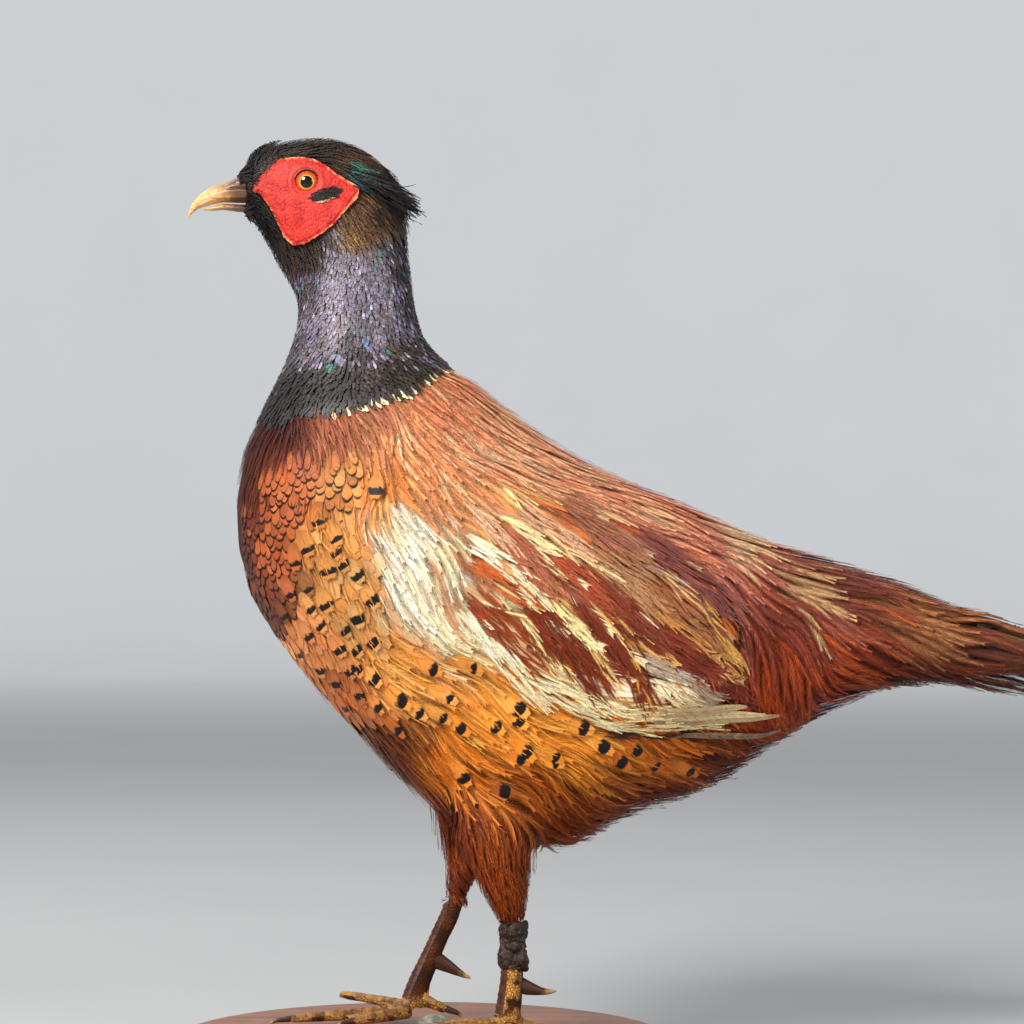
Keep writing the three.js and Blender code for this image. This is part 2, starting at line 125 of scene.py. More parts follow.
def copy_of(names, title):
    """One new piece from copies of CAD nodes, with their loose triangles merged."""
    bpy.ops.object.select_all(action="DESELECT")
    for name in names:
        twin = bpy.data.objects.new(title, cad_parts[name].data.copy())
        show(twin)
        twin.select_set(True)
        bpy.context.view_layer.objects.active = twin
    if len(names) > 1:
        bpy.ops.object.join()
    piece = bpy.context.view_layer.objects.active
    piece.name = title
    piece.data.materials.clear()
    edit(piece, lambda: bpy.ops.mesh.remove_doubles(threshold=1e-5))
    return piece

# %% [markdown]
# A mesh's corners are read and written as one array, which is far quicker than one by one.

# %% Corners, paint and finishing


def corners(piece):
    places = np.empty(len(piece.data.vertices) * 3, np.float32)
    piece.data.vertices.foreach_get("co", places)
    return places.reshape(-1, 3).astype(float)


def set_corners(piece, places):
    piece.data.vertices.foreach_set("co", np.asarray(places, np.float32).ravel())
    piece.data.update()


def corner_normals(piece):
    found = np.empty(len(piece.data.vertices) * 3, np.float32)
    piece.data.vertices.foreach_get("normal", found)
    return found.reshape(-1, 3).astype(float)


def paint(mesh, name, values):
    """Keeps three numbers for each corner, as a colour that a material can read."""
    data = mesh.color_attributes.new(name, "FLOAT_COLOR", "POINT").data
    data.foreach_set("color", np.c_[values, np.ones(len(values))].astype(np.float32).ravel())


def smooth_shade(piece, angle=None):
    only(piece)
    if angle is None:
        bpy.ops.object.shade_smooth()
    else:
        bpy.ops.object.shade_smooth_by_angle(angle=math.radians(angle))


def finish_piece(piece, material, slot, *nodes):
    """Gives a piece its finish, says what it rides on, and hides the nodes it stands for; slot is not used."""
    piece.data.materials.clear()
    piece.data.materials.append(material)
    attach(piece, "root")
    if nodes:
        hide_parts(*nodes)
    print(piece.name, len(piece.data.polygons), "faces")

# %% [markdown]
# ## Short ways to wire a finish
# Every material is a net of nodes. This small class adds the kinds of node that these finishes need, and
# takes either a plain value or another node's output for each input.

# %% Node helpers


class Net:
    def __init__(self, tree):
        self.tree = tree

    def put(self, socket, value):
        if isinstance(value, bpy.types.NodeSocket):
            self.tree.links.new(value, socket)
        else:
            socket.default_value = value

    def node(self, kind, values=None, **settings):
        made = self.tree.nodes.new("ShaderNode" + kind)
        for key, value in settings.items():
            setattr(made, key, value)
        for socket, value in (values or {}).items():
            self.put(made.inputs[socket], value)
        return made

    def math(self, operation, a, b=0.0, c=0.0):
        return self.node("Math", {0: a, 1: b, 2: c}, operation=operation).outputs[0]

    def times(self, a, b):
        return self.math("MULTIPLY", a, b)

    def minus(self, a, b):
        return self.math("SUBTRACT", a, b)

    def times_plus(self, a, b, c):
        return self.math("MULTIPLY_ADD", a, b, c)

    def ramp(self, value, low, high, start=0.0, end=1.0):
        """A soft step from start to end as the value goes from low to high."""
        values = {"Value": value, "From Min": low, "From Max": high, "To Min": start, "To Max": end}
        return self.node("MapRange", values, interpolation_type="SMOOTHSTEP").outputs[0]

    def blend(self, amount, a, b, how="MIX"):
        made = self.node("Mix", data_type="RGBA", blend_type=how)
        for socket, value in ((0, amount), (6, a), (7, b)):
            self.put(made.inputs[socket], self.colour(value))
        return made.outputs[2]

    def colour(self, value):
        return (*srgb(value), 1) if isinstance(value, str) else value

    def place(self, scale=(1, 1, 1)):
        """Object coordinates in millimetres, stretched along each axis."""
        where = self.node("TexCoord").outputs["Object"]
        return self.node("Mapping", {"Vector": where, "Scale": [1000 * s for s in scale]}).outputs[0]

    def noise(self, where, scale, detail=2.0, rough=0.5):
        values = {"Vector": where, "Scale": scale, "Detail": detail, "Roughness": rough}
        return self.node("TexNoise", values).outputs[0]

    def cells(self, where, scale, feature="F1"):
        values = {"Vector": where, "Scale": scale}
        return self.node("TexVoronoi", values, feature=feature).outputs["Distance"]

    def bump(self, height, depth):
        values = {"Strength": 1.0, "Distance": depth * MM, "Height": height}
        return self.node("Bump", values).outputs[0]

    def attribute(self, name, output="Color"):
        return self.node("Attribute", attribute_name=name).outputs[output]

    def split(self, vector):
        return self.node("SeparateXYZ", {0: vector}).outputs

    def map(self, name):
        """The two ways along one of the piece's own maps."""
        return self.split(self.node("UVMap", uv_map=name).outputs[0])

    def join(self, x, y, z=0.0):
        return self.node("CombineXYZ", {0: x, 1: y, 2: z}).outputs[0]


def new_material(name, **settings):
    """A material of one Principled shader. Its fixed values are set on the shader's own sockets."""
    material = bpy.data.materials.new(name)
    material.use_nodes = True
    net = Net(material.node_tree)
    sockets = material.node_tree.nodes["Principled BSDF"].inputs
    for socket, value in settings.items():
        net.put(sockets[socket.replace("_", " ")], net.colour(value))
    return material, net, sockets


def shader(name, colour, height=None, depth=0.2, **settings):
    """A material whose colour and height come from functions that wire the nodes."""
    material, net, sockets = new_material(name, **settings)
    net.put(sockets["Base Color"], net.colour(colour(net)))
    if height is not None:
        net.put(sockets["Normal"], net.bump(height(net), depth))
    return material


def bumps(scale, detail, stretch=(1, 1, 1)):
    """A rough surface's height for `shader`: noise that may be stretched."""
    return lambda net: net.noise(net.place(stretch), scale, detail)

# %% [markdown]
# ## The camera
# It stands level with the breast, a little under two metres away, with a lens long enough that the near and
# the far leg have almost the same scale. It is made first, because nothing else depends on it.

# %% Camera
CAMERA_PLACE = (0.0477, -1.833, 0.2945)
LENS = 123
camera_data = bpy.data.cameras.new("camera")
camera_data.lens = LENS
camera_data.sensor_width = 36
camera_data.clip_end = 20
camera = bpy.data.objects.new("camera", camera_data)
camera.location = CAMERA_PLACE
camera.rotation_euler = (math.pi / 2, 0, 0)
show(camera)
bpy.context.scene.camera = camera
print("camera", CAMERA_PLACE, "lens", LENS)

# %% [markdown]
# ## The tracts of the plumage
# A bird's feathers grow in tracts, and each tract has its own lie, length, width and colours. The table below
# names them with a place in the side view (x towards the tail, z up) and how far each reaches. Between two
# tracts everything is blended, as on the bird. The lie is in degrees below level, towards the tail. `size` is
# a feather's length and width and `apart` the room between roots, in millimetres.
#
# `inks` lists the colours that its feathers are chosen from, and `edge` is the colour of a feather's rim, of
# which `fringe` says how much shows. `coat` is how deep the feathers lie over the skin. `cling` is how
# closely a feather follows the skin towards its tip, `rough` how ragged its barbs are, and `own` how much the
# colours differ from one feather to the next.

# %% Tract table
TRACTS = []


def tract(group, kind, at, lie, size, apart, coat, inks, edge, reach,
          fringe=0.0, cling=1.0, rough=0.12, own=0.6):
    turn = math.radians(lie)
    TRACTS.append(dict(
        group=group, kind=kind, at=at, reach=reach, lie=(math.cos(turn), -math.sin(turn)),
        long=size[0], wide=size[1], apart=apart, coat=coat, inks=[srgb(ink) for ink in inks.split()],
        edge=srgb(edge), fringe=fringe, cling=cling, rough=rough, own=own))


def tracts(group, kind, rows, **more):
    for row in rows:
        tract(group, kind, *row, **more)


# The head and neck
tracts("head", "down", (
    ((-89, 461), -28, (4.7, 1.3), 1.2, 1.2, "15110f 0e0c0b", "0e0c0b", 9),
    ((-62, 469), 0, (6.3, 1.7), 1.4, 1.3, "241b16 15100d 3a2a1c", "493423", 14),
    ((-34, 464), 24, (7.7, 1.8), 1.5, 1.4, "38281d 1c1410 5b4029", "5b4029", 13),
    ((-13, 448), 46, (9, 2), 1.6, 1.6, "1f1713 120e0c 33251a", "3b2a1e", 12),
    # green and blue inks behind the eye: painted sheen of the head
    ((-32, 453), 34, (6.8, 2), 1.4, 1.3, "12493a 1d5a48 243a66", "2c6a63", 7),
    ((-91, 441), 12, (2.9, 1.1), 1.1, 1, "15110f", "100d0c", 7),
))
tract("head", "down", (-85, 427), 40, (5, 1.4), 1.3, 1.4, "191412 0f0c0b", "0f0c0b", 10, rough=0.5)
tract("head", "down", (-62, 412), 62, (5.9, 1.6), 1.4, 1.6, "221915 38271c", "38271c", 13, rough=0.3)
tract("head", "down", (-27, 431), 48, (7.2, 1.5), 1.3, 1.5, "6e4a2a 83592f 3b2516 2c1c14",
      "8a6436", 13, rough=0.25)
tract("head", "down", (-36, 419), 58, (6.8, 1.5), 1.4, 1.5, "7c5630 a57c42 4a3120", "b08a50", 8, rough=0.25)
tract("neck", "down", (-8, 412), 76, (5.7, 3), 1.6, 1.4, "2c2425 1d1819 453a3e", "4c4446", 15, rough=0.35)
tracts("neck", "short", (
    ((-4, 388), 84, (5, 2.3), 1.42, 1, "2a2427 1d191b 3a3337", "3d3639", 8),
    ((-36, 396), 88, (5, 2.3), 1.42, 1, "756a78 635664 877e8b", "9a909b", 20),
    ((-66, 392), 92, (5, 2.3), 1.42, 1, "4e4349 3d3439 5d5359", "6c6268", 12),
    ((-28, 372), 84, (5, 2.3), 1.42, 1, "685f65 7b7277 564c52", "8b8188", 13),
    ((-60, 366), 96, (5, 2.3), 1.42, 1, "665c65 756b76 554a52", "7f747c", 12),
    ((-52, 342), 92, (6.4, 2.5), 1.66, 1.2, "282321 1e1a19 38302f", "3a3330", 16),
    ((-10, 354), 72, (6.4, 2.5), 1.66, 1.2, "372e29 27211f 4c4039", "4a3f36", 14),
), rough=0.35)

# The breast: maroon hair above, then small copper scales with dark rims, then golden ones
tracts("breast", "hair", (
    ((-72, 320), 86, (12, 2.5), 2.5, 1.7, "511c13 5e2217 42130e", "421b26", 15),
    ((-48, 318), 74, (12, 2.6), 2.4, 1.8, "a95d3d c2714a 8a4931", "50242e", 12),
    ((-22, 324), 66, (13, 2.8), 2.5, 1.9, "b86c4b cf835b 96523b", "602d2d", 11),
), rough=0.2)
tract("breast", "hair", (-103, 296), 92, (12, 2.7), 2.5, 1.7, "4c1a11 592113 42130d", "3f1821", 16)
tracts("breast", "scale", (
    ((-98, 262), 88, (11, 6.6), 3.6, 1.1, "592112 652716 4f1b12", "240c0b", 20),
    ((-62, 291), 80, (11, 6.8), 3.6, 1.2, "b65d2c c76d37 a64e2c", "1c0a08", 15),
    ((-76, 262), 78, (11.5, 7.1), 3.7, 1.2, "a9532b b9622f 974621", "1c0a08", 15),
    ((-40, 296), 72, (12, 7.8), 4, 1.2, "d5853c dea25c c77130", "1d0b09", 10),
), fringe=0.26)
tract("breast", "barred", (-48, 264), 58, (15, 10.8), 5.1, 1.6, "cc8539 d69c59 c57630", "7e411d", 14)
tract("breast", "barred", (-40, 234), 54, (17, 12), 5.6, 1.7, "ca873f d5a061 c27933", "7e411d", 18)
tract("breast", "scale", (-88, 226), 72, (12.5, 8.1), 4.2, 1.2, "6a3018 773a1d 5d2816",
      "230d0a", 20, fringe=0.23)
tract("breast", "barred", (-66, 214), 60, (15, 10.5), 5.2, 1.7, "ea9358 fead6b cd7b3e", "713c28", 16)
tract("breast", "barred", (-50, 184), 56, (16, 10.5), 5.4, 1.8, "cd733c e28c4a ae5c31", "5b2e20", 16)
tract("breast", "hair", (-22, 152), 52, (17, 3.9), 3.4, 2.6, "76371a 88441f 5b2510", "3d1a12", 17, rough=0.25)

# The flanks: broad golden feathers with long loose barbs, and a black spot on some
tract("flank", "vane", (-14, 200), 40, (26, 10.2), 5, 3.5, "f69e3c ffb55f e88421", "b0642c", 14, rough=0.2)
tract("flank", "vane", (22, 180), 30, (30, 11), 5.4, 3.6, "f6982f ffb354 e7811a", "a85c28", 18, rough=0.2)
tract("flank", "vane", (66, 164), 26, (30, 11), 5.5, 3.7, "eb8c23 f9a743 d77213", "9a4f24", 20, rough=0.22)
tract("flank", "vane", (110, 154), 20, (30, 10.2), 5.4, 3.9, "d66c11 e78425 b55209", "83401f", 18, rough=0.28)
tract("flank", "vane", (8, 150), 38, (27, 9.3), 5, 3.7, "db781d eb9235 c15e0f", "8c4622", 16, rough=0.28)
tract("flank", "plume", (44, 140), 28, (27, 7.5), 4.6, 4, "c56216 dd7e28 a44816", "7a3c1c", 14, rough=0.35)
tracts("belly", "plume", (
    ((66, 122), 40, (25, 6), 4.2, 6, "893c10 a04b18 6e2b0d", "55281a", 18),
    ((112, 122), 34, (26, 6), 4.2, 6.4, "6d280d 823712 501c0b", "3c1b12", 20),
    ((152, 142), 22, (26, 6), 4.2, 6.4, "6d270c 803512 4e1a0a", "371811", 18),
), cling=0.55, rough=0.6)
tract("belly", "plume", (10, 120), 48, (20, 4.9), 3.7, 5, "7f3513 934117 66240b",
      "4a2015", 15, cling=0.9, rough=0.35)
tract("thigh", "hair", (22, 94), 82, (12, 2.6), 1.8, 2.4, "873a12 9e4b1b 6d2b0b",
      "6f3012", 16, cling=0.9, rough=0.35)
tract("thigh", "hair", (49, 92), 84, (12, 2.6), 1.8, 2.4, "903f10 a64f19 732d0a",
      "6f3012", 16, cling=0.9, rough=0.4)

# The back, from the shoulders to the tail
tract("back", "plume", (8, 338), 60, (17, 3.6), 3, 2.6, "e68254 fd9a66 cc6b46 ffc79a", "7c3a2a", 15)
tracts("back", "plume", (
    ((-14, 318), 72, (17, 3.9), 3.2, 2.6, "fc975b ffb07a e37e49 ffc490", "7c3a2a", 13),
    ((32, 316), 46, (22, 4.3), 3.5, 2.9, "ff9e6c ffb57e e08059 ffcc9c f4c198", "7e4230", 18),
    ((76, 298), 36, (26, 5), 4, 3.2, "f2956d ffaf81 c9745a ffc08c", "783d2f", 22),
), own=0.7)
tract("back", "plume", (116, 277), 32, (28, 5.4), 4.2, 3.5, "d68165 ee9976 ae634d ffad82",
      "6e352a", 22, own=0.75)
tract("back", "plume", (152, 258), 30, (30, 5.8), 4.2, 3.8, "ab5c49 c2715b 8d473c cc7d65",
      "54241e", 20, own=0.8)
tract("rump", "plume", (204, 240), 25, (34, 6), 4.3, 4.9, "7a3b30 8e4c3a 63291f 9a5643",
      "4e211b", 20, own=0.75)
tract("rump", "plume", (170, 232), 54, (36, 6), 4.1, 5, "893a2b 9d4f39 6e271b", "5d2418", 14, rough=0.2)
tract("rump", "plume", (178, 196), 72, (38, 6), 4, 5.8, "a2380c b54a14 83280a",
      "6a2c17", 19, cling=0.6, rough=0.4)
tract("rump", "plume", (208, 206), 52, (38, 6), 4.1, 5.8, "9b3916 b14d1e 79260f",
      "571f15", 18, cling=0.7, rough=0.35)
tract("rump", "plume", (234, 178), 34, (36, 5.6), 4.1, 5.4, "511d0e 68250f 3a1209",
      "2c130d", 17, cling=0.5, rough=0.6)
tract("rump", "plume", (246, 224), 23, (40, 7.1), 4.8, 4.3, "8d4d32 a7683d 6f3624 b47847",
      "4e281c", 18, own=0.8)
tract("rump", "plume", (250, 200), 20, (38, 6.4), 4.3, 4.5, "712f1a 883e22 572213", "3f1c14", 17, rough=0.25)
tract("rump", "plume", (286, 206), 17, (58, 6.4), 4.3, 3.6, "693421 80442b 502316", "3a1d15", 16, rough=0.2)

# The folded wing's own small feathers
tract("wing", "vane", (-20, 292), 66, (16, 6.8), 4, 2.5, "f9933b ffac5a e77f31", "8b4424", 12, rough=0.2)
tract("wing", "vane", (6, 292), 52, (18, 6.8), 4, 2.7, "e78d52 f5ad74 cd703d", "8b4424", 14, rough=0.2)
tracts("wing", "plume", (
    ((-6, 262), 60, (19, 6.8), 3.8, 2.2, "fff8e3 ffebbf fff8e3 ffd69f", "f0d9a8", 13),
    ((-8, 236), 58, (20, 6.8), 3.8, 2.2, "fffaea ffeec9 ffdfa6", "f3dfb4", 13),
    ((10, 214), 46, (22, 6.8), 4, 2.4, "fff8e2 ffe9b6 ffd692", "e0b77e", 14),
), own=0.8)
tract("wing", "plume", (14, 248), 50, (22, 6.8), 4.1, 2.4, "fff5d8 ffe4ad d8854f b75c31",
      "9c522c", 15, own=0.95)
tracts("wing", "plume", (
    ((40, 272), 42, (25, 7.2), 4.5, 2.8, "f08b43 da692e ffeb9b ffaf5d", "803d25", 17),
    ((78, 268), 40, (28, 7.6), 4.7, 3, "cb6231 be4f21 ffe29c e3884a af4019", "6f3425", 17),
    ((112, 250), 38, (28, 7.6), 4.9, 3, "be6034 ab4622 ffd789 d27843", "6f3425", 17),
), own=0.9)
tract("wing", "plume", (42, 236), 44, (24, 7.6), 4.5, 2.8, "b53800 9f2b00 ffeab1 ffbd6b",
      "93421f", 15, own=0.95)

NUMBERS = ("long", "wide", "apart", "coat", "fringe", "cling", "rough", "own")
TRACT_PLACES = np.array([t["at"] for t in TRACTS], float)
TRACT_REACH = np.array([t["reach"] for t in TRACTS], float)
TRACT_NUMBERS = np.array([[t[n] for n in NUMBERS] for t in TRACTS], float)
TRACT_LIE = np.array([t["lie"] for t in TRACTS], float)
TRACT_INK = np.array([np.mean(t["inks"], 0) for t in TRACTS])
TRACT_EDGE = np.array([t["edge"] for t in TRACTS])
NECK_GROUPS = np.array([t["group"] in ("head", "neck") for t in TRACTS])
COLLAR = np.array([(-110, 334), (-87, 330), (-84, 323), (-70, 321), (-65, 327), (-39, 327.5), (-24, 331),
                   (-7, 336.5), (2, 343.5), (15, 354), (60, 420)], float)
print(len(TRACTS), "tracts")

# %% [markdown]
# Where the dark neck meets the copper body the change is sharp, so the two are never blended: a point belongs
# to one or the other by which side of the collar line it is on.

# %% Blending between tracts


def above_collar(where, waver=0.0):
    return where[:, 1] + waver > np.interp(where[:, 0], COLLAR[:, 0], COLLAR[:, 1])


def influence(where, waver=0.0):
    """How much each tract counts at places in the side view."""
    away = np.linalg.norm(where[:, None] - TRACT_PLACES[None], axis=2) / TRACT_REACH
    weight = 1 / (away ** 4 + 1e-3)
    weight = weight * (above_collar(where, waver)[:, None] == NECK_GROUPS[None])
    return weight / weight.sum(1, keepdims=True)


def side_view(points):
    return to_bird(points)[:, (0, 2)]


def numbers_at(where):
    values = influence(where) @ TRACT_NUMBERS
    return {name: values[:, i] for i, name in enumerate(NUMBERS)}

# %% [markdown]
# ## One skin
# Under the coat a mount has one tanned skin over its form. The flesh solids are copied, joined and remeshed
# into one closed surface, so no seam is left, then smoothed, most of all on the broad body. Last, it is drawn
# in by the depth of the coat, so that the feathers' outside keeps the solids' outline.

# %% Skin
FLESH = ["head", "neck", "trunk", "rump"]
FLESH += [f"{part}_{side}" for part in ("wing", "thigh", "shank") for side in SIDES]
FLESH += sorted(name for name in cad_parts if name.startswith("toe_"))
SWELL = 0.4
VOXEL = 1.3
skin = copy_of(FLESH, "skin")
modify(skin, "DISPLACE", strength=SWELL * MM, mid_level=0)
modify(skin, "REMESH", mode="VOXEL", voxel_size=VOXEL * MM)

THIGH_END = {side: to_bird([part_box(f"thigh_{side}")[0]])[0, 2] for side in SIDES}


def bare_leg(points):
    """1 on the scaled shanks and toes, 0 above the thighs' ends."""
    bird = to_bird(points)
    end = np.where(bird[:, 1] < 0, THIGH_END["left"], THIGH_END["right"])
    return np.clip((end - bird[:, 2]) / 3, 0, 1)


def body_weight(points):
    bird = to_bird(points)
    return np.clip((430 - bird[:, 2]) / 60, 0.12, 1) * np.clip((bird[:, 2] - 60) / 50, 0.06, 1)


group = skin.vertex_groups.new(name="smooth")
weights = body_weight(corners(skin))
for level in range(20):
    chosen = np.nonzero((weights * 20).astype(int).clip(0, 19) == level)[0]
    group.add(chosen.tolist(), (level + 1) / 20, "REPLACE")
modify(skin, "SMOOTH", factor=0.5, iterations=60, vertex_group="smooth")
modify(skin, "DECIMATE", ratio=0.42)
modify(skin, "TRIANGULATE")
print("skin", len(skin.data.vertices), "corners,", len(skin.data.polygons), "triangles")

# %% [markdown]
# The bare red face carries no feathers, so its outline is needed both to draw the skin in and, later, to keep
# roots off it. A point is inside a closed outline when a line from it crosses the outline an odd number of
# times.

# %% The red face's outline, and drawing the skin in
WATTLE_OUTLINE = np.array([
    (-82.5, 454), (-79, 460), (-73, 461.5), (-62, 462), (-53, 459.5), (-45, 453), (-31, 444), (-37, 436),
    (-46, 425), (-57, 417.5), (-66, 414), (-73, 419.5), (-78, 431), (-84, 440.5), (-89.5, 444.5),
    (-87.5, 449)], float)


def inside(where, outline):
    x, z = where[:, 0, None], where[:, 1, None]
    (ax, az), (bx, bz) = outline.T, np.roll(outline, -1, 0).T
    crosses = ((az > z) != (bz > z)) & (x < (bx - ax) * (z - az) / (bz - az + 1e-9) + ax)
    return crosses.sum(1) % 2 == 1


def beside_outline(where, outline):
    """How far a place is from an outline's line, in millimetres."""
    a, b = outline[None], np.roll(outline, -1, 0)[None]
    p = where[:, None]
    t = np.clip(((p - a) * (b - a)).sum(2) / ((b - a) ** 2).sum(2), 0, 1)[..., None]
    return np.linalg.norm(p - (a + (b - a) * t), axis=2).min(1)


def on_face(points):
    bird = to_bird(points)
    return inside(bird[:, (0, 2)], WATTLE_OUTLINE) & (np.abs(bird[:, 1]) > 6)


places = corners(skin)
where = side_view(places)
depth = numbers_at(where)["coat"]
depth = np.where(on_face(places), 0.3, depth)
depth = mix(depth, 0.1, bare_leg(places)) + SWELL
set_corners(skin, places - corner_normals(skin) * depth[:, None] * MM)
modify(skin, "SMOOTH", factor=0.5, iterations=3, vertex_group="smooth")
smooth_shade(skin)
edit(skin, lambda: bpy.ops.uv.smart_project(angle_limit=math.radians(66), island_margin=0.002))
skin.data.uv_layers[0].name = "OFBake"
print("drawn in by", round(float(depth.min()), 1), "to", round(float(depth.max()), 1), "mm")

# %% [markdown]
# ## Finding the skin
# Feathers are laid on the skin by asking for the nearest place on it, again and again. A tree of its
# triangles makes that quick, and the normals of a triangle's three corners, weighed by nearness, make it
# smooth.

# %% Nearest places on the skin
triangles = np.empty(len(skin.data.polygons) * 3, np.int32)
skin.data.polygons.foreach_get("vertices", triangles)
triangles = triangles.reshape(-1, 3)
places = corners(skin)
normals = corner_normals(skin)
tree = BVHTree.FromPolygons(places.tolist(), triangles.tolist())
unwrap = np.empty(len(triangles) * 6, np.float32)
skin.data.uv_layers["OFBake"].data.foreach_get("uv", unwrap)
unwrap = unwrap.reshape(-1, 3, 2).mean(1)


def settle(points):
    """For each point: the nearest place on the skin, the smooth normal there, and the triangle it is on."""
    landed = np.empty_like(points)
    hit = np.empty(len(points), int)
    for i, p in enumerate(points.tolist()):
        spot, _, index, _ = tree.find_nearest(p)
        landed[i] = spot
        hit[i] = index
    near = 1 / (np.linalg.norm(places[triangles[hit]] - landed[:, None], axis=2) + 1e-5)
    return landed, unit((normals[triangles[hit]] * near[..., None]).sum(1)), hit

# %% [markdown]
# ## How a feather is made
# A feather has a shaft, and barbs that leave it on both sides and slant towards the tip. Near the shaft they
# hook together into a closed vane, and at the rim they come apart. So each modelled feather is a closed strip
# with a row of narrow pointed fingers along both sides. How much is closed and how steeply the barbs slant
# makes the difference between a breast scale, a loose flank feather and a hair-like rump plume.

# %% Kinds of feather
KINDS = {
    "down": dict(rows=4, fingers=1, share=0.34, slant=1.8, blunt=2.4, round=0.3),
    "short": dict(rows=4, fingers=1, share=0.7, slant=1.0, blunt=3.0, round=0.15, camber=0.03),
    "hair": dict(rows=7, fingers=2, share=0.1, slant=2.8, blunt=2.2, round=0.25),
    "scale": dict(rows=8, fingers=2, share=0.86, slant=0.9, blunt=3.4, round=0.12, camber=0.03),
    "barred": dict(rows=10, fingers=4, share=0.7, slant=1.7, blunt=3.6, round=0.15, camber=0.03),
    "vane": dict(rows=11, fingers=4, share=0.06, slant=2.7, blunt=3.0, round=0.3),
    "plume": dict(rows=11, fingers=3, share=0.06, slant=2.8, blunt=2.6, round=0.25),
    "spike": dict(rows=8, fingers=2, share=0.12, slant=3.2, blunt=1.7, round=0.25),
    "scapular": dict(rows=24, fingers=4, share=0.4, slant=3.4, blunt=3.4, round=0.3),
    "quill": dict(rows=18, fingers=2, share=0.86, slant=1.5, blunt=3.2, round=0.3, camber=0.03),
    "tail": dict(rows=60, fingers=3, share=0.9, slant=1.1, blunt=14, round=0.4, taper=0.14, camber=0.03),
}


def outline_of(kind, v):
    """Half the feather's width at v along it, over half its greatest width."""
    v = np.clip(v, 0, 1)
    k = KINDS[kind]
    taper = mix(1, k.get("taper", 1), np.clip((v - 0.45) / 0.55, 0, 1) ** 1.5)
    return np.minimum(1, 1.08 * (v + 0.03) ** 0.38) * np.sqrt(1 - v ** k["blunt"] + 1e-4) * taper


def faces_of(kind):
    """The faces of one feather, as lists of its corners: shaft, then both strips' rims, then fingertips."""
    rows, fingers = KINDS[kind]["rows"], KINDS[kind]["fingers"]
    rim = rows * fingers
    left, right = rows + 1, rows + 1 + rim + 1
    tips = right + rim + 1
    faces = []
    for i in range(rows):
        span = range(i * fingers, (i + 1) * fingers + 1)
        faces.append([i, i + 1] + [left + j for j in reversed(span)])
        faces.append([i + 1, i] + [right + j for j in span])
    for j in range(rim):
        faces.append([left + j, left + j + 1, tips + j])
        faces.append([right + j + 1, right + j, tips + rim + j])
    return faces, tips + 2 * rim

# %% [markdown]
# Every feather of a tract is laid at once, row by row: from its root a step along the lie of the plumage,
# back to the skin, and so on to the tip. It rises a little from root to tip, so each feather covers the roots
# of the next ones, like shingles.

# %% Laying feathers
RUFFLE = 0.42  # how far handling has turned the lie, in radians
RUMP_END = to_bird([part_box("rump")[1]])[0, 0] - 14  # behind it feathers lie on the tail


def drift(where, size, layer):
    """Slow noise over the side view, from -1 to 1, with hills about `size` millimetres wide."""
    return np.array([noise.noise(Vector((x / size, z / size, layer))) for x, z in where.tolist()])


def lie_at(where):
    """The way the feathers point, with the slight ruffles that handling leaves in a coat."""
    lie = unit(influence(where) @ TRACT_LIE)
    turn = RUFFLE * drift(where, 26, 0.5) * (~above_collar(where) + 0.5)
    return np.stack([lie[:, 0] * np.cos(turn) - lie[:, 1] * np.sin(turn),
                     lie[:, 0] * np.sin(turn) + lie[:, 1] * np.cos(turn)], 1)


def lay(kind, roots, facts, lies=None):
    """Feathers on the skin, one for each root. `lies` gives each its own path in place of its tract's lie."""
    rows, count = KINDS[kind]["rows"], len(roots)
    step = (facts["long"] * MM / rows)[:, None]
    cling = facts["cling"][:, None]
    turn = rng.normal(0, 1, count) * (0.05 + 0.28 * facts["rough"])
    spots, normal, hit = settle(roots)
    shaft, ups, outs = [], [], []
    for row in range(rows + 1):
        lie = lie_at(side_view(spots)) if lies is None else lies[:, row]
        heading = np.stack([lie[:, 0], np.zeros(count), lie[:, 1]], 1)
        heading[:, 2] -= (1 - cling[:, 0]) * 0.35 * row / rows
        free = side_view(spots)[:, :1] > RUMP_END
        normal = np.where(free, unit(normal * (0.15, 1, 1)), normal)
        along = unit(heading - normal * (heading * normal).sum(1, keepdims=True) * np.where(free, 0.3, 1))
        across = np.cross(normal, along)
        along = along * np.cos(turn)[:, None] + across * np.sin(turn)[:, None]
        shaft.append(spots)
        ups.append(normal)
        outs.append(np.cross(normal, along))
        ahead = spots + along * step
        landed, found, _ = settle(ahead)
        hold = cling * (side_view(ahead)[:, :1] < RUMP_END)
        spots = mix(ahead, landed, hold)
        normal = unit(mix(normal, found, hold))
    return grow(kind, *(np.stack(a, 1) for a in (shaft, ups, outs)), facts, unwrap[hit])

# %% [markdown]
# On each shaft's path the vane is built: the closed strip on both sides, then the fingertips, each a little
# ragged. Every corner gets a normal of its own, which makes a flat vane look rounded.

# %% Growing vanes
TUFT_PATCH = 0.003  # the side of one feather's patch on the skin's unwrap


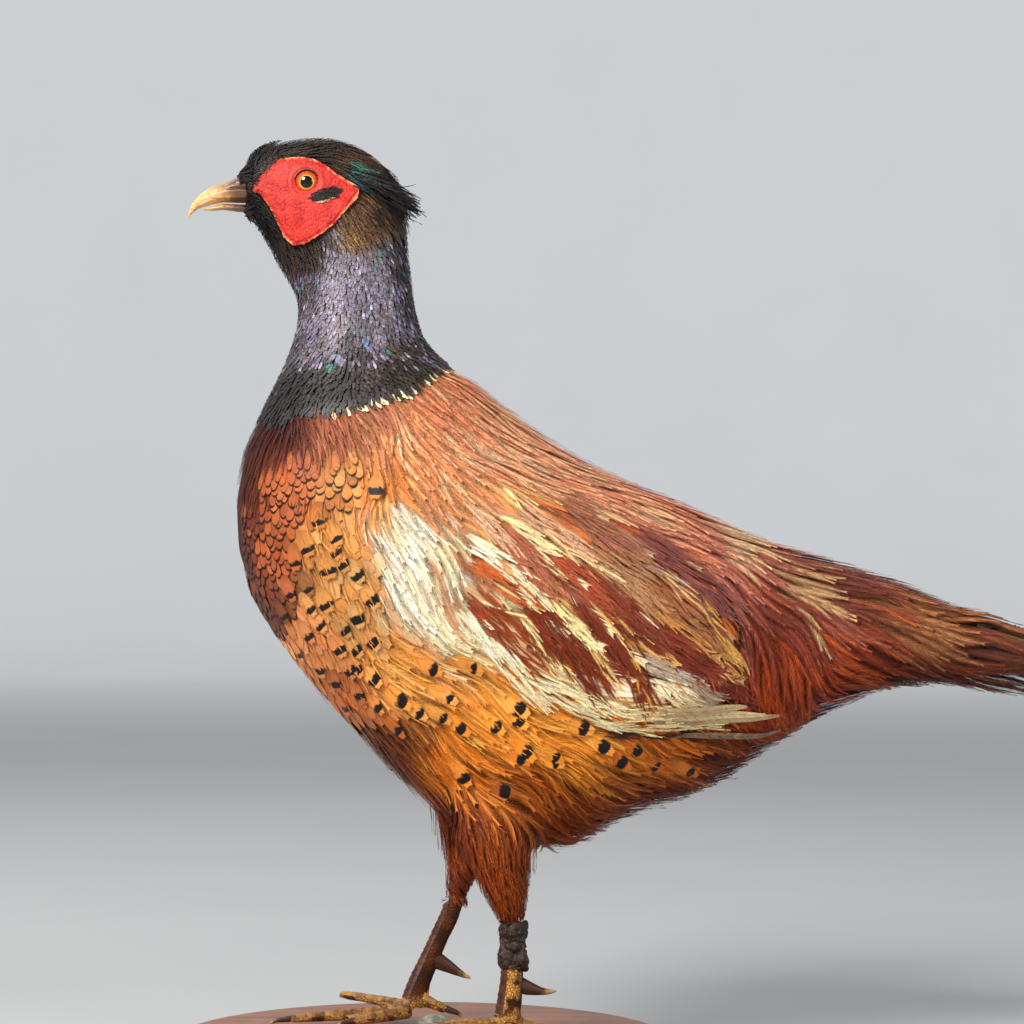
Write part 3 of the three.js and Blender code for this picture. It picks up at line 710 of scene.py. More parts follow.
def grow(kind, shaft, ups, outs, facts, roots_uv):
    """Vanes along given shafts, as arrays of corners, faces and markings.

    shaft, ups and outs hold a place, an upward and a sideways direction for each feather and row.
    """
    k = KINDS[kind]
    rows, fingers, count = k["rows"], k["fingers"], len(shaft)
    long, wide, rough = facts["long"] * MM, facts["wide"] * MM, facts["rough"]
    rise = (facts.get("rise", 0.1) + rng.uniform(0, 0.2, count)) * MM
    lift = facts["coat"] * MM * rng.uniform(0.85, 1.0, count) * (1 + rough * rng.uniform(-0.3, 0.4, count))
    camber = k.get("camber", 0.05) * wide
    shading = []

    def place(v, across, extra=0.0):
        """Corners at v along each feather and `across` (in half widths) beside its shaft."""
        low = np.clip((v * rows).astype(int), 0, rows - 1)
        part = (v * rows - low)[..., None]
        pick = np.arange(count)[:, None]
        here, up, out = (mix(a[pick, low], a[pick, low + 1], part) for a in (shaft, ups, outs))
        height = rise[:, None] + lift[:, None] * v - camber[:, None] * across ** 2 + extra
        leaning = across * k["round"] + rng.normal(0, 0.1, across.shape)
        shading.append(unit(up + out * leaning[..., None]))
        return here + out * (across * wide[:, None] / 2)[..., None] + up * height[..., None]

    every = np.ones((count, 1))
    v_shaft = np.linspace(0, 1, rows + 1)[None] * every
    v_rim = np.linspace(0, 1, rows * fingers + 1)[None] * every
    closed = k["share"] * outline_of(kind, v_rim)
    v_root = (v_rim[:, 1:] + v_rim[:, :-1]) / 2
    gap = outline_of(kind, v_root) * (1 - k["share"])
    reach = k["slant"] * gap * (wide / 2 / long)[:, None]
    v, u = [v_shaft, v_rim, v_rim], [v_shaft * 0, closed, -closed]
    spots = [place(v_shaft, v_shaft * 0), place(v_rim, closed), place(v_rim, -closed)]
    for hand in (1, -1):
        ragged = rng.uniform(-1, 0.6, v_root.shape) * (0.1 + 0.5 * rough[:, None])
        v_tip = np.minimum(v_root + reach * (1 + ragged), 1.06)
        out = np.maximum(outline_of(kind, np.minimum(v_tip, 0.97)), closed[:, 1:] * 0.9)
        out = hand * out * (1 + 0.5 * ragged)
        stray = rng.normal(0, 1, v_root.shape) * (0.04 + 0.4 * rough[:, None]) * MM
        spots.append(place(v_tip, out, stray))
        v.append(v_tip)
        u.append(out)
    v, u = np.concatenate(v, 1), np.concatenate(u, 1)
    beside = u * facts["wide"][:, None] / 2
    barb = np.stack([v * facts["long"][:, None] - k["slant"] * np.abs(beside),
                     beside + rng.uniform(0, 500, count)[:, None]], 2)
    faces, size = faces_of(kind)
    return dict(corners=np.concatenate(spots, 1), shading=np.concatenate(shading, 1), faces=faces, size=size,
                vane=np.stack([u / 2 + 0.5, v], 2),
                barb=barb, bake=roots_uv[:, None] + np.stack([u / 2, v - 0.5], 2) * TUFT_PATCH,
                tint=facts["ink"], edge=facts["edge"], mark=facts["mark"])

# %% [markdown]
# Thousands of feathers become one mesh. Their corners and faces are written straight into its arrays, since
# adding them one by one would take minutes.

# %% Joining feathers into a piece


def coat_piece(title, parts):
    """Joins laid feathers into one mesh, with their maps and markings."""
    spots, starts, loops, totals = [], 0, [], []
    for part in parts:
        count, size = part["corners"].shape[:2]
        spots.append(part["corners"].reshape(-1, 3))
        flat = np.concatenate([np.array(face) for face in part["faces"]])
        loops.append((flat[None] + starts + size * np.arange(count)[:, None]).ravel())
        totals.append(np.tile([len(face) for face in part["faces"]], count))
        starts += count * size
    spots, loops, totals = (np.concatenate(a) for a in (spots, loops, totals))
    mesh = bpy.data.meshes.new(title)
    mesh.vertices.add(len(spots))
    mesh.vertices.foreach_set("co", spots.astype(np.float32).ravel())
    mesh.loops.add(len(loops))
    mesh.loops.foreach_set("vertex_index", loops.astype(np.int32))
    mesh.polygons.add(len(totals))
    mesh.polygons.foreach_set("loop_start", (np.cumsum(totals) - totals).astype(np.int32))
    mesh.update(calc_edges=True)
    for name, key in (("OFBake", "bake"), ("Vane", "vane"), ("Barb", "barb")):
        flat = np.concatenate([p[key].reshape(-1, 2) for p in parts])
        mesh.uv_layers.new(name=name).data.foreach_set("uv", flat[loops].astype(np.float32).ravel())
    for name, key in (("Tint", "tint"), ("Edge", "edge"), ("Mark", "mark")):
        paint(mesh, name, np.concatenate([np.repeat(p[key], p["size"], 0) for p in parts]))
    piece = bpy.data.objects.new(title, mesh)
    show(piece)
    smooth_shade(piece)
    mesh.normals_split_custom_set_from_vertices(np.concatenate([p["shading"].reshape(-1, 3) for p in parts]))
    print(title, int((totals - 2).sum()), "triangles,", sum(len(p["tint"]) for p in parts), "feathers")
    return piece

# %% [markdown]
# ## Where feathers grow
# Roots are scattered by chance over the skin, then thinned so that no two stand closer than their tract
# allows. That gives the even but never regular spacing of a real coat. The seed is fixed, so each run is the
# same.

# %% Scattering roots
from mathutils.kdtree import KDTree

NO_BILL_BEFORE = -93.5
CROWD = 5.0  # roots tried for each that finds room


def scatter():
    a, b, c = (places[triangles[:, i]] for i in range(3))
    area = np.linalg.norm(np.cross(b - a, c - a), axis=1) / 2 / MM ** 2
    middle = (a + b + c) / 3
    bird = to_bird(middle)
    facts = numbers_at(bird[:, (0, 2)])
    grows = (bare_leg(middle) < 0.5) & ~on_face(middle) & (bird[:, 0] > NO_BILL_BEFORE)
    grows &= bird[:, 0] < RUMP_END + 5
    expected = np.where(grows, area / facts["apart"] ** 2 * CROWD, 0)
    chosen = rng.choice(len(area), int(expected.sum()), p=expected / expected.sum())
    s, t = rng.random((2, len(chosen)))
    s, t = np.where(s + t > 1, 1 - s, s), np.where(s + t > 1, 1 - t, t)
    points = a[chosen] + (b - a)[chosen] * s[:, None] + (c - a)[chosen] * t[:, None]
    apart = facts["apart"][chosen] * MM
    near = KDTree(len(points))
    for i, p in enumerate(points.tolist()):
        near.insert(p, i)
    near.balance()
    free = np.ones(len(points), bool)
    kept = []
    for i, p in enumerate(points.tolist()):
        if not free[i]:
            continue
        kept.append(i)
        for _, j, _ in near.find_range(p, apart[i]):
            free[j] = False
    return points[kept]


roots = scatter()
print(len(roots), "roots")

# %% [markdown]
# ## Each feather's own colours
# A root takes its kind from one nearby tract, by chance weighed with nearness, and its colours from a mixture
# of that tract's and the neighbourhood's. So borders between tracts are mingled, as on the bird.

# %% Colours and markings by place
MINGLED = 0.6  # how far neighbouring tracts run into each other


def vary(colours, amount):
    """Each colour a little lighter or darker, and a little warmer or cooler."""
    light = 1 + amount * rng.normal(0, 1, len(colours))
    warm = amount * 0.35 * rng.normal(0, 1, len(colours))
    return np.clip(colours * np.stack([light + warm, light, light - warm], 1), 0.002, 1)


def facts_at(points, waver=0.0):
    where = side_view(points)
    weight = influence(where, waver)
    chance = np.log(weight + 1e-9) + MINGLED * rng.gumbel(size=weight.shape)
    pick = chance.argmax(1)
    facts = {name: weight @ TRACT_NUMBERS[:, i] for i, name in enumerate(NUMBERS)}
    for name in ("fringe", "own"):
        facts[name] = mix(facts[name], TRACT_NUMBERS[pick, NUMBERS.index(name)], 0.5)
    draw = rng.random(len(points))
    chosen = np.array([TRACTS[i]["inks"][int(d * len(TRACTS[i]["inks"]))] for i, d in zip(pick, draw)])
    own = facts["own"][:, None] * rng.uniform(0.6, 1.0, (len(points), 1))
    facts["ink"] = vary(mix(weight @ TRACT_INK, chosen, own), 0.1)
    facts["edge"] = vary(mix(weight @ TRACT_EDGE, TRACT_EDGE[pick], own), 0.1)
    shade = 1 + 0.3 * drift(where, 15, 3.5)[:, None]
    facts["ink"] = np.clip(facts["ink"] * shade, 0.002, 1)
    facts["pick"] = pick
    facts["fringe"] = facts["fringe"] * rng.uniform(0.75, 1.2, len(points))
    facts["long"] = facts["long"] * rng.uniform(0.88, 1.12, len(points))
    facts["bar"] = facts["fringe"] * 0
    return facts


def with_marks(facts):
    facts["mark"] = np.stack([facts["fringe"], facts["bar"], facts.get("oval", facts["bar"] * 0)], 1)
    return facts


def few(facts, chosen):
    return {key: value[chosen] if isinstance(value, np.ndarray) else value for key, value in facts.items()}

# %% [markdown]
# ## Long feathers laid singly
# Some feathers are not scattered but set one by one. A small helper gathers what each needs: its length and
# width, its colours, and how high it rises. Another finds the skin as seen from one side.

# %% Helpers for single feathers
OUTSIDE = 200.0  # farther out than any part of the bird


def single(count, long, wide, ink, edge, coat=3.0, rise=0.5, rough=0.1, cling=1.0, fringe=0.0):
    numbers = dict(long=long, wide=wide, coat=coat, rise=rise, rough=rough, cling=cling, fringe=fringe, bar=0)
    facts = {key: np.array(np.broadcast_to(value, count), float) for key, value in numbers.items()}
    inks = np.array([srgb(colour) for colour in ink.split()])
    facts["ink"] = vary(inks[rng.integers(0, len(inks), count)], 0.08)
    facts["edge"] = vary(np.tile(srgb(edge), (count, 1)), 0.08)
    return with_marks(facts)


def seen_from(side, where):
    """Places on the skin as a line from that side would meet it, or the nearest where a line passes by."""
    hand = SIDES[side]
    starts, middle = (to_frame(np.c_[where[:, 0], np.full(len(where), hand * away), where[:, 1]])
                      for away in (OUTSIDE, 1.0))
    found = [tree.ray_cast(p, (0, -hand, 0))[0] or tree.find_nearest(m)[0]
             for p, m in zip(starts.tolist(), middle.tolist())]
    return np.array([tuple(spot) for spot in found])


def straight(kind, points, tips):
    """The same lie in every row, from each root towards its tip, and that distance."""
    lie = tips - points
    return np.repeat(unit(lie)[:, None], KINDS[kind]["rows"] + 1, 1), np.linalg.norm(lie, axis=1)

# %% [markdown]
# ## Marks in their places
# On the live bird each mark has its place. The first two tables give the places of the black bars low on the
# breast and of the black spots on the flank. The others name the pale and the dark patches, with a blue and a
# teal patch on the neck that are painted sheen, and how common each painted sheen colour, each painted glint
# and a plain brown are among the neck's feathers.

# %% Tables of marks
BREAST_BARS = [  # x, z, how wide the feather is, and how thick its bar
    (-21, 282, 11, 1.28), (-47, 269, 13, 0.97), (-39, 261, 11, 0.92), (-55, 255, 13, 0.97),
    (-41, 253, 10, 0.97), (-61, 248, 11, 0.92), (-44, 244, 14, 1.01), (-37, 247, 10, 1.01),
    (-30, 241, 11, 1.14), (-64, 232, 11, 0.92), (-55, 235, 10, 0.88), (-45, 227, 14, 1.01),
    (-53, 225, 10, 0.97), (-24, 227, 11, 1.28), (-31, 218, 11, 1.28), (-69, 220, 10, 0.92),
    (-57, 209, 12, 1.01), (-49, 216, 11, 0.97), (-38, 212, 10, 1.05), (-41, 202, 12, 1.14),
    (-51, 191, 10, 1.05), (-36, 191, 12, 1.18), (-30, 193, 10, 1.14), (-32, 202, 11, 1.28),
    (-20, 208, 11, 1.32), (-63, 199, 10, 0.97), (-43, 184, 10, 1.05), (-20, 189, 11, 1.32),
    (-28, 180, 10, 1.14), (-37, 172, 10, 1.05), (-18, 175, 10, 1.10),
]
FLANK_SPOTS = [
    (-5, 179, 11, 1.24), (10, 196, 11, 0.95), (31, 197, 11, 0.9), (54, 174, 12, 1.2), (53, 167, 11, 1.14),
    (61, 156, 11, 1.14), (54, 148, 10, 1.04), (85, 161, 11, 1.14), (95, 151, 10, 1.2), (107, 147, 10, 1.14),
    (112, 150, 9, 1.1), (123, 143, 10, 0.9), (139, 135, 9, 0.85), (46, 131, 11, 1.2), (29, 194, 10, 0.85),
    (22, 161, 10, 1.04), (41, 164, 10, 1.04), (29, 141, 11, 1.14), (10, 163, 10, 0.95), (4, 175, 10, 0.95),
    (-9, 162, 10, 0.95), (17, 179, 10, 0.85), (73, 153, 9, 0.95), (67, 139, 9, 0.95),
]
PALE_PATCHES = [  # x, z and reach of the pale patches on the back
    (97, 273, 6, "dcb27e"), (102, 262, 5, "dcb27e"), (119, 271, 6, "d8ac7a"), (141, 279, 5, "d2a878"),
    (158, 262, 8, "e6c390"), (166, 254, 7, "e2bc88"), (194, 238, 8, "c89c6c"), (204, 226, 8, "c49868"),
    (62, 296, 6, "dcae84"), (36, 302, 6, "e0b48c"), (20, 290, 7, "e8bc8c"), (84, 290, 6, "d0a27a"),
]
# The blue and the teal neck patches are painted sheen.
NECK_PATCHES = [(-29, 360, 6, "2a2226"), (-22, 352, 5, "2f2a2c"), (-20, 359, 2.5, "5f7fb0"),
                (-37, 347, 2.2, "2c7f7a")]
# Violet, blue and teal are painted sheen, pale lilac a painted glint, and brown the feathers' own colour.
GLINTS = [("6b6f92", 0.06), ("8a7396", 0.06), ("3f7f7c", 0.015), ("b5aab8", 0.04), ("54423f", 0.12)]
print(len(BREAST_BARS), "bars and", len(FLANK_SPOTS), "spots a side")

# %% [markdown]
# The neck's sheen is painted into its feathers as fixed colours: a few are violet, blue and teal, and a few
# almost white as painted glints.
# At the collar a few cream tips are what is left of a white ring. A patch reaches where its feathers end, a
# little behind and below their roots, so it is looked for from there.

# %% The painted sheen of the neck, the collar and the patches
waver = rng.normal(0, 1.3, len(roots))
facts = facts_at(roots, waver)
where = side_view(roots)
is_neck = np.array([t["group"] == "neck" for t in TRACTS])[facts["pick"]]
mid_neck = is_neck & (where[:, 1] > 352)
chance = rng.random(len(roots))
start = 0.0
# Painted sheen and glints, with some plain brown among them.
for colour, share in GLINTS:
    chosen = mid_neck & (chance > start) & (chance < start + share)
    facts["ink"][chosen] = vary(mix(facts["ink"][chosen], srgb(colour), 0.7), 0.1)
    start += share
ring = np.interp(where[:, 0], COLLAR[:, 0], COLLAR[:, 1]) - where[:, 1]
ringed = is_neck & (ring > -3.5) & (ring < 4)
ringed &= chance < np.interp(where[:, 0], [-50, -38, -20, -13, -4, 14], [0.0, 0.3, 0.3, 0.1, 0.36, 0.08])
facts["ink"][ringed] = vary(np.tile(srgb("efe0ad"), (ringed.sum(), 1)), 0.1)
facts["edge"][ringed] = srgb("f5edcf")
facts["long"][ringed], facts["wide"][ringed] = 6.4, 3.0
for x, z, reach, colour in PALE_PATCHES + NECK_PATCHES:
    away = np.hypot(where[:, 0] + 9 - x, where[:, 1] - 6 - z) / reach * rng.uniform(0.8, 1.4, len(roots))
    near = (away < 1) & (is_neck == (z > 340))
    facts["ink"][near] = vary(mix(facts["ink"][near], srgb(colour), 0.85), 0.1)
mottled = 1 + np.where(is_neck, 0.55, 0.0) * drift(where, 6, 11.5)
facts["ink"] = np.clip(facts["ink"] * mottled[:, None], 0.002, 1)
facts = with_marks(facts)
print(int(ringed.sum()), "cream feathers at the collar")

# %% [markdown]
# Now the scattered feathers are laid, tract by tract. On the thighs they stop short of the mended shank.

# %% Laying the coat
groups = np.array([t["group"] for t in TRACTS])[facts["pick"]]
mend_top = to_bird([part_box("resin_left_shank")[1]])[0, 2]
room = where[:, 1] - mend_top - 1
facts["long"] = np.where(groups == "thigh", np.clip(facts["long"], 3, np.maximum(room, 3)), facts["long"])
kinds = np.array([t["kind"] for t in TRACTS])[facts["pick"]]
coat_parts = {}
for name in ("head", "neck", "breast", "flank", "belly", "thigh", "back", "rump", "wing"):
    for kind in KINDS:
        chosen = np.nonzero((groups == name) & (kinds == kind))[0]
        if len(chosen):
            coat_parts.setdefault(name, []).append(lay(kind, roots[chosen], few(facts, chosen)))
print(", ".join(coat_parts))

# %% [markdown]
# A black mark looks right only when its feather lies on top of its neighbours and ends where the mark should
# be. So the marked feathers are set last, each from a root found by going back along the lie. Over them go
# single loose barbs, which make the outlines of bars and spots as ragged as real ones.

# %% Barred and spotted feathers
MARK_PLACE = 0.82  # how far along its feather a mark lies
MARK_RISE = 1.4


def marked_feathers(side, table, long, oval):
    """Feathers that end at the places in a table, on top of their neighbours, each with its black mark."""
    x, z, wide, bar = np.array(table, float).T
    ends = np.stack([x, z], 1)
    spots = seen_from(side, ends - lie_at(ends) * long * MARK_PLACE)
    facts = facts_at(spots)
    facts["long"], facts["wide"], facts["bar"] = np.full(len(x), float(long)), wide * 1.15, bar
    facts["rise"], facts["oval"] = np.full(len(x), MARK_RISE), np.full(len(x), oval)
    facts["fringe"] = facts["fringe"] * 0
    cream = facts["ink"][:, 2] > 0.2  # the nearest tract may be the wing's
    facts["ink"][cream] = vary(np.tile(srgb("e0933f"), (cream.sum(), 1)), 0.1)
    facts["edge"] = facts["ink"] * 1.1
    return lay("barred", spots, with_marks(facts))


def loose_barbs(side, low, high, count, long):
    """Single barbs that have come loose, over the feathers in a part of the side view."""
    where = rng.uniform(low, high, (count, 2))
    spots = seen_from(side, where)
    facts = facts_at(spots)
    facts["long"], facts["wide"] = rng.uniform(0.7, 1.2, count) * long, rng.uniform(1.1, 2.0, count)
    facts["rise"], facts["fringe"] = rng.uniform(0.9, 1.9, count), facts["fringe"] * 0
    facts["ink"] = vary(facts["ink"] * 1.12, 0.22)
    facts["edge"] = facts["ink"] * 0.8
    return lay("hair", spots, with_marks(facts))


for side in SIDES:
    coat_parts["breast"].append(marked_feathers(side, BREAST_BARS, 14, 0.15))
    coat_parts["flank"].append(marked_feathers(side, FLANK_SPOTS, 20, 0.7))
    coat_parts["breast"].append(loose_barbs(side, (-62, 176), (-16, 284), 250, 9))
    coat_parts["flank"].append(loose_barbs(side, (-14, 128), (150, 200), 380, 15))

# %% [markdown]
# ## The look of a feather
# One group of nodes draws the markings of every feather from the piece's own maps. The map named Vane says
# how far a point is along the feather and beside its shaft; Barb follows each barb, so that noise on it gives
# the fine streaks of single barbs. The colours and the strength of each marking come with the feather itself:
# a dark rim, a black bar near the tip, and how far the bar is rounded into a spot.

# %% Feather markings


def new_group(name, inputs, outputs):
    tree = bpy.data.node_groups.new(name, "ShaderNodeTree")
    for socket, value in inputs.items():
        made = tree.interface.new_socket(name=socket, in_out="INPUT", socket_type="NodeSocketFloat")
        made.default_value = value
    for socket, kind in outputs.items():
        tree.interface.new_socket(name=socket, in_out="OUTPUT", socket_type="NodeSocket" + kind)
    given = tree.nodes.new("NodeGroupInput").outputs
    result = tree.nodes.new("NodeGroupOutput").inputs
    return tree, Net(tree), given, result


SPOT = "130d0b"
FEATHER, net, given, result = new_group(
    "Feather", {"Fineness": 1.3, "Contrast": 0.6, "Threads": 0.7, "Dark": 0.6, "Shaft": 0.0, "Flame": 0.2},
    {"Color": "Color", "Grain": "Float"})
vane = net.map("Vane")
barb = net.map("Barb")
fringe, bar, oval = net.split(net.attribute("Mark", "Vector"))
beside = net.math("ABSOLUTE", net.times_plus(vane[0], 2.0, -1.0))
along = vane[1]
grain = net.noise(net.join(net.times(barb[0], given["Fineness"]), net.times(barb[1], 0.11)), 1.0)
patch = net.noise(net.join(net.times(barb[0], 0.25), net.times(barb[1], 0.25)), 1.0, 1.0)
waver = net.minus(grain, 0.5)
past = net.math("MAXIMUM", net.times_plus(along, 2.5, -1.5), 0.0)
rim = net.math("SQRT", net.math("ADD", net.math("POWER", beside, 2.0), net.math("POWER", past, 2.0)))
thread = net.noise(net.join(net.times(barb[0], given["Threads"]), net.times(barb[1], 0.09), 7.3), 1.0, 1.0)
rim = net.times_plus(net.minus(thread, 0.5), given["Flame"], rim)
rim = net.times_plus(net.minus(patch, 0.5), given["Flame"], rim)
inner = net.minus(1.0, fringe)
fringed = net.ramp(rim, net.minus(inner, 0.1), net.math("ADD", inner, 0.08))
fringed = net.times(fringed, net.ramp(fringe, 0.02, 0.08))
reach = net.times_plus(net.minus(patch, 0.5), 0.3, along)
reach = net.times_plus(waver, 0.2, reach)
curve = net.times(net.math("POWER", beside, 2.0), net.times(oval, 0.17))
reach = net.minus(reach, curve)
spot_from = net.times_plus(bar, -0.34, 1.0)
spotted = net.ramp(reach, net.minus(spot_from, 0.02), net.math("ADD", spot_from, 0.02))
beyond = net.times_plus(waver, 0.14, net.math("ADD", along, curve))
spotted = net.times(spotted, net.ramp(beyond, 0.86, 0.885, 1.0, 0.0))
spotted = net.times(spotted, net.ramp(bar, 0.05, 0.1))
colour = net.blend(fringed, net.attribute("Tint"), net.attribute("Edge"))
dark_thread = net.ramp(thread, 0.5, 0.64, 0.0, given["Dark"])
colour = net.blend(dark_thread, colour, net.attribute("Edge"))
colour = net.blend(spotted, colour, SPOT)
light = net.times_plus(net.ramp(grain, 0.3, 0.7, -0.5, 0.5), given["Contrast"], 1.0)
light = net.times_plus(net.ramp(beside, 0.02, 0.1, 1.0, 0.0), given["Shaft"], light)
# Darker towards the root: partly the feather's own downy base, partly painted shade where the feathers above
# cover it.
light = net.times(light, net.ramp(along, 0.0, 0.45, 0.7, 1.0))
net.put(result["Color"], net.blend(1.0, colour, light, "MULTIPLY"))
net.put(result["Grain"], grain)
print(len(FEATHER.nodes), "nodes")

# %% [markdown]
# The coats differ in how fine their barbs are, how strongly they are streaked, and how much they gleam. So
# one function makes all their materials, with its own numbers for each.

# %% Plumage materials
BARB_HEIGHT = 0.2


def plumage(name, rough, fineness=1.3, contrast=0.9, threads=0.8, dark=0.7, shaft=0.0, flame=0.2, gleam=0.0,
            **settings):
    """A coat's material. Where it gleams, single barbs shine like brushed metal."""
    material, net, sockets = new_material(name, Roughness=rough, **settings)
    given = dict(Fineness=fineness, Contrast=contrast, Threads=threads, Dark=dark, Shaft=shaft, Flame=flame)
    drawn = net.node("Group", given, node_tree=FEATHER).outputs
    net.put(sockets["Base Color"], drawn["Color"])
    if gleam:
        net.put(sockets["Metallic"], net.ramp(drawn["Grain"], 0.35, 0.7, 0.0, gleam))
    net.put(sockets["Normal"], net.bump(drawn["Grain"], BARB_HEIGHT))
    return material


dark_plumage = plumage("dark plumage", 0.45, gleam=0.15, dark=0.3, Specular_IOR_Level=0.3)
neck_plumage = plumage("neck plumage", 0.45, gleam=0.12, contrast=1.2, dark=0.15)
copper_plumage = plumage("copper plumage", 0.5, fineness=2.0, contrast=0.55, threads=1.2, dark=0.04,
                         Specular_IOR_Level=0.25)
loose_plumage = plumage("loose plumage", 0.6, contrast=1.0, dark=0.5, Specular_IOR_Level=0.2)
wing_plumage = plumage("wing plumage", 0.55, contrast=0.75, dark=0.15, Specular_IOR_Level=0.25)
vane_plumage = plumage("vane plumage", 0.5, fineness=1.6, contrast=0.7, threads=0.9, dark=0.1, flame=1.4,
                       Specular_IOR_Level=0.25)

# %% [markdown]
# ## The coat's pieces
# Each part of the coat becomes one mesh, with the finish that suits it. In parts, the coat can be saved to
# smaller files and repainted bit by bit.

# %% The coat's pieces
COATS = {
    "head": (dark_plumage, "dark_plumage"), "neck": (neck_plumage, "dark_plumage"),
    "breast": (copper_plumage, "copper_plumage"), "flank": (copper_plumage, "copper_plumage"),
    "belly": (loose_plumage, "copper_plumage"), "thigh": (loose_plumage, "maroon_plumage"),
    "back": (loose_plumage, "copper_plumage"), "rump": (loose_plumage, "maroon_plumage"),
    "wing": (wing_plumage, "wing_plumage"),
}
for name, (material, slot) in COATS.items():
    finish_piece(coat_piece(f"coat_{name}", coat_parts[name]), material, slot)

# %% [markdown]
# ## The skin's finish
# Between feathers the skin is covered with down in the same colours, a little darker: partly the down's own
# duller colour, partly painted shade between the feathers. On the legs it is bare and scaly. Two attributes
# carry this: Tint has the down's colour with its painted shade, and Bare says where the leg is bare and which
# way it faces, because the outer sides are golden and the inner ones brown.

# %% Skin colours and material
places = corners(skin)
tint = influence(side_view(places)) @ TRACT_INK
bare = bare_leg(places)
outer = np.clip(corner_normals(skin)[:, 1] * np.sign(to_bird(places)[:, 1]) * 2 - 0.8, 0, 1)
outer = np.maximum(outer, np.clip(2 - to_bird(places)[:, 2] / 8, 0, 0.8))
# The down's colour at 0.6 of the feathers' also paints the shade between them.
for name, values in (("Tint", tint * 0.6), ("Bare", np.stack([bare, outer, bare], 1))):
    paint(skin.data, name, values)


def leg_tones(net):
    """Small horny scales: golden on the outer sides, reddish brown in front, and dark in the seams."""
    where = net.place()
    seam = net.cells(where, 0.62, "DISTANCE_TO_EDGE")
    outer = net.split(net.attribute("Bare", "Vector"))[1]
    tone = net.blend(net.ramp(net.noise(where, 0.12, 3.0), 0.38, 0.62), "391c0e", "5e3013")
    gilt = net.times(outer, net.ramp(net.noise(where, 0.14, 2.0, 0.4), 0.34, 0.48))
    tone = net.blend(gilt, tone, "cc9245")
    return net.blend(net.ramp(seam, 0.02, 0.14, 0.75, 0.0), tone, "2c160b"), seam


def skin_colour(net):
    down = net.blend(1.0, net.attribute("Tint"),
                     net.ramp(net.noise(net.place(), 0.9, 3.0), 0.3, 0.7, 0.5, 1.1), "MULTIPLY")
    return net.blend(net.split(net.attribute("Bare", "Vector"))[0], down, leg_tones(net)[0])


skin_finish = shader("skin", skin_colour, height=lambda net: net.ramp(leg_tones(net)[1], 0.0, 0.2),
                     depth=0.25, Roughness=0.55, Specular_IOR_Level=0.15)
finish_piece(skin, skin_finish, "copper_plumage", *FLESH)

# %% [markdown]
# ## The red face
# Round each eye the face is bare and covered with small fleshy grains. Each packed face patch is remeshed
# finely, and its grains are raised one by one: a cell pattern gives every corner its distance to the nearest
# grain's middle. The lids are soft folds round the eye, and a knob closes the corner of the mouth.

# %% The red face's colour
eye_low, eye_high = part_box("eye_left")
LOWERED = -1.8  # the glass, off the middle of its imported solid
EYE = to_bird([(eye_low + eye_high) / 2])[0] + (0, 0, LOWERED)
EYE_RADIUS = (eye_high.x - eye_low.x) / 2 / MM
GRAIN_PITCH = 1.05
GAPE = (-87.5, 443.8)


def swelling(where, middle, reach, height):
    return height * np.exp(-((where - middle) ** 2).sum(1) / reach ** 2)


def face_colour(net):
    """Blood red, darker with painted shade between the grains, deeper in worn patches, and pale with dust along
    its rim.
    """
    where = net.place()
    grain = net.cells(where, 1 / GRAIN_PITCH)
    patch = net.noise(where, 0.13, 3.0)
    colour = net.blend(net.ramp(patch, 0.4, 0.62), "c61c12", "e5382a")
    # Painted shade in the hollows between the grains.
    colour = net.blend(net.ramp(grain, 0.36, 0.66, 0.0, 0.6), colour, "8a1410")
    colour = net.blend(net.ramp(net.noise(where, 1.1, 1.0), 0.64, 0.74, 0.0, 0.3), colour, "f0654e")
    rim = net.split(net.attribute("Rim", "Vector"))
    dusty = net.times(rim[0], net.ramp(net.noise(where, 0.3, 3.0), 0.42, 0.56))
    colour = net.blend(dusty, colour, "dc9c68")
    return net.blend(rim[1], colour, "b8432f")


red_face = shader("red face", face_colour, height=bumps(2.2, 2.0), depth=0.12, Roughness=0.5,
                  Specular_IOR_Level=0.3)

# %% [markdown]
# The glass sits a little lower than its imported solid, and the patch's corners near it are moved down with it.
# Along its border the patch sinks under the feathers, in a ragged line.

